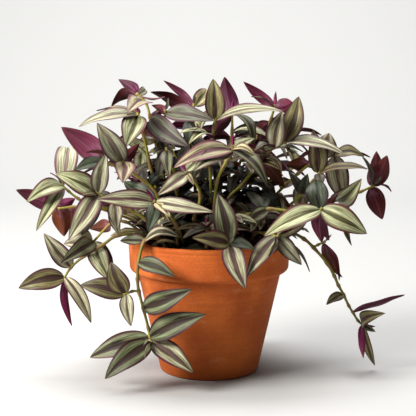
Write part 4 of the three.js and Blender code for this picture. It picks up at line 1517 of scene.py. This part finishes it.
class LeafLook(bpy.types.PropertyGroup):
    """The blades' form, and the colours that all the leaves share"""

    rib_thickness: look_length("Rib thickness", "Thickness of a blade at its rib", 0.95)
    edge_thickness: look_length("Edge thickness", "Thickness near a blade's margin", 0.3)
    wave: look_length("Wave", "How far a blade's margin waves", 0.6)
    bulge: look_share("Bulge", "Bulge of each half blade, as a share of its width", 0.04)
    bow: look_share("Bow", "How far blades bow aside, as a share of their length", 0.09)
    leaf_roughness: look_share("Roughness", "Roughness of an upper face", 0.44)
    under_roughness: look_share("Underside", "Roughness of an underside", 0.52)
    green: look_colour("Green", "Green tint at the borders of the pale bands", "B4B594")
    rib: look_colour("Midrib", "Dark green streaks in the midrib stripe", "333E22")
    pink: look_colour("Pink", "Pink at an underside's foot", "94607C")
    brown: look_colour("Brown", "Brown clouds on an underside", "46241A")


class PotLook(bpy.types.PropertyGroup):
    """The pot's line and its clay"""

    line_depth: look_length("Line", "Depth of the line turned in under the rim", 0.4)
    clay_roughness: look_share("Roughness", "Roughness of the clay", 0.78)
    clay: look_colour("Clay", "The fired clay's colour", "C26429")
    clay_dark: look_colour("Dark clay", "The clay's colour in its darker clouds", "A64E1E")
    bloom: look_colour("Bloom", "The paler bloom on the clay", "E3B08C")
    speckles: look_colour("Speckles", "The fine dark speckles", "7A3C22")


class SoilLook(bpy.types.PropertyGroup):
    """The soil's crumbs and colours"""

    relief: look_length("Relief", "How far the soil's crumbs rise", 1.1)
    dark: look_colour("Dark", "The soil between its crumbs", "17110C")
    pale: look_colour("Pale", "The soil's palest crumbs", "4A382A")
    flecks: look_colour("Flecks", "Fibres and flecks in the soil", "8A7358")


class StageLook(bpy.types.PropertyGroup):
    """The backdrop's colour and the lights"""

    backdrop: look_colour("Backdrop", "The floor's and the wall's colour", "A6A6A5")
    key: look_power("Key light", "Power of the large light at the upper left", 36.0)
    fill: look_power("Fill light", "Power of the light at the right", 0.5)
    wall: look_power("Wall light", "Power of the light on the wall behind", 150.0)
    sky: look_share("Sky", "Strength of the light from all round", 0.08)


class TRADESCANTIA_OT_pot(bpy.types.Operator):
    """Add the terracotta pot in place of its solid"""

    bl_idname = "tradescantia.pot"
    bl_label = "Pot"

    def execute(self, context):
        look = context.scene.tradescantia_pot
        points = lathe_points(pot_profile(look), POT_TURNS)
        pot = plain_object("clay_pot", points, terracotta_material(look))
        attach(pot, BODY)
        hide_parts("pot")
        return {"FINISHED"}


class TRADESCANTIA_OT_soil(bpy.types.Operator):
    """Add the crumbly soil in place of its solid"""

    bl_idname = "tradescantia.soil"
    bl_label = "Soil"

    def execute(self, context):
        look = context.scene.tradescantia_soil
        soil = plain_object("potting_soil", soil_grid(look), soil_material(look))
        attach(soil, BODY)
        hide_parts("soil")
        return {"FINISHED"}


class TRADESCANTIA_OT_stems(bpy.types.Operator):
    """Add every leafy stem in place of its solid"""

    bl_idname = "tradescantia.stems"
    bl_label = "Leafy stems"

    def execute(self, context):
        look = context.scene.tradescantia_leaf
        materials = [upper_leaf_material(look), under_leaf_material(look), stalk_material(look)]
        for seed, stem in enumerate(grown_stems()):
            build_stem(stem, seed, look, materials)
        return {"FINISHED"}


def area_light(name, power, place, target, size, tone):
    """A square soft light at a place, aimed at a target."""
    data = bpy.data.lights.new(name, "AREA")
    data.shape = "SQUARE"
    data.size = size * MM
    data.energy = power
    data.color = tone
    light = linked(name, data)
    place = np.array(place, float)
    light.location = place * MM
    back = unit(place - np.array(target, float))
    side = unit(np.cross(UP, back))
    up = np.cross(back, side)
    turn = np.stack([side, up, back], axis=1)
    light.rotation_euler = Matrix(turn.tolist()).to_euler()
    return light


def add_camera(scene):
    """The camera, at its place and tilted down."""
    data = bpy.data.cameras.new("camera")
    data.sensor_fit = "HORIZONTAL"
    data.sensor_width = SENSOR_WIDTH
    data.lens = SENSOR_WIDTH * LENS_DOTS / PICTURE_DOTS
    data.clip_end = FARTHEST
    camera = linked("camera", data)
    camera.location = [length * MM for length in CAMERA_PLACE]
    camera.rotation_euler = (math.radians(90 - CAMERA_TILT), 0.0, 0.0)
    scene.camera = camera


class TRADESCANTIA_OT_stage(bpy.types.Operator):
    """Add the pale floor and backdrop, the studio lights and the camera"""

    bl_idname = "tradescantia.stage"
    bl_label = "Stage"

    def execute(self, context):
        look = context.scene.tradescantia_stage
        scene = context.scene
        pale = backdrop_material(look)
        plain_object("backdrop", backdrop_grid(), pale, closed=False)
        area_light("key_light", look.key, **KEY_LIGHT)
        area_light("fill_light", look.fill, **FILL_LIGHT)
        area_light("wall_light", look.wall, **WALL_LIGHT)
        scene.world = scene.world or bpy.data.worlds.new("sky")
        scene.world.use_nodes = True
        sky = scene.world.node_tree.nodes["Background"]
        sky.inputs["Color"].default_value = SKY_TONE
        sky.inputs["Strength"].default_value = look.sky
        scene.view_settings.view_transform = "Standard"
        add_camera(scene)
        return {"FINISHED"}


# Each operator, with the name and the class of the values that it reads
PIECES = (
    (TRADESCANTIA_OT_stage, "tradescantia_stage", StageLook),
    (TRADESCANTIA_OT_pot, "tradescantia_pot", PotLook),
    (TRADESCANTIA_OT_soil, "tradescantia_soil", SoilLook),
    (TRADESCANTIA_OT_stems, "tradescantia_leaf", LeafLook),
)


class TRADESCANTIA_PT_panel(bpy.types.Panel):
    """The stage and the pieces with their values, in the 3D view's sidebar"""

    bl_idname = "TRADESCANTIA_PT_panel"
    bl_label = "Potted Tradescantia"
    bl_space_type = "VIEW_3D"
    bl_region_type = "UI"
    bl_category = "Tradescantia"

    def draw(self, context):
        for operator, group, look in PIECES:
            box = self.layout.box()
            box.operator(operator.bl_idname)
            for value in look.__annotations__:
                box.prop(getattr(context.scene, group), value)


def register():
    """Registers the classes and gives the scene their values."""
    for operator, group, look in PIECES:
        bpy.utils.register_class(look)
        bpy.utils.register_class(operator)
        setattr(bpy.types.Scene, group, PointerProperty(type=look))
    bpy.utils.register_class(TRADESCANTIA_PT_panel)


def unregister():
    """Takes the values and the classes away again."""
    bpy.utils.unregister_class(TRADESCANTIA_PT_panel)
    for operator, group, look in reversed(PIECES):
        delattr(bpy.types.Scene, group)
        bpy.utils.unregister_class(operator)
        bpy.utils.unregister_class(look)


def main():
    """Builds everything in order."""
    register()
    bpy.ops.tradescantia.stage()
    bpy.ops.tradescantia.pot()
    bpy.ops.tradescantia.soil()
    bpy.ops.tradescantia.stems()
    bpy.context.view_layer.update()


if __name__ == "__main__":
    main()
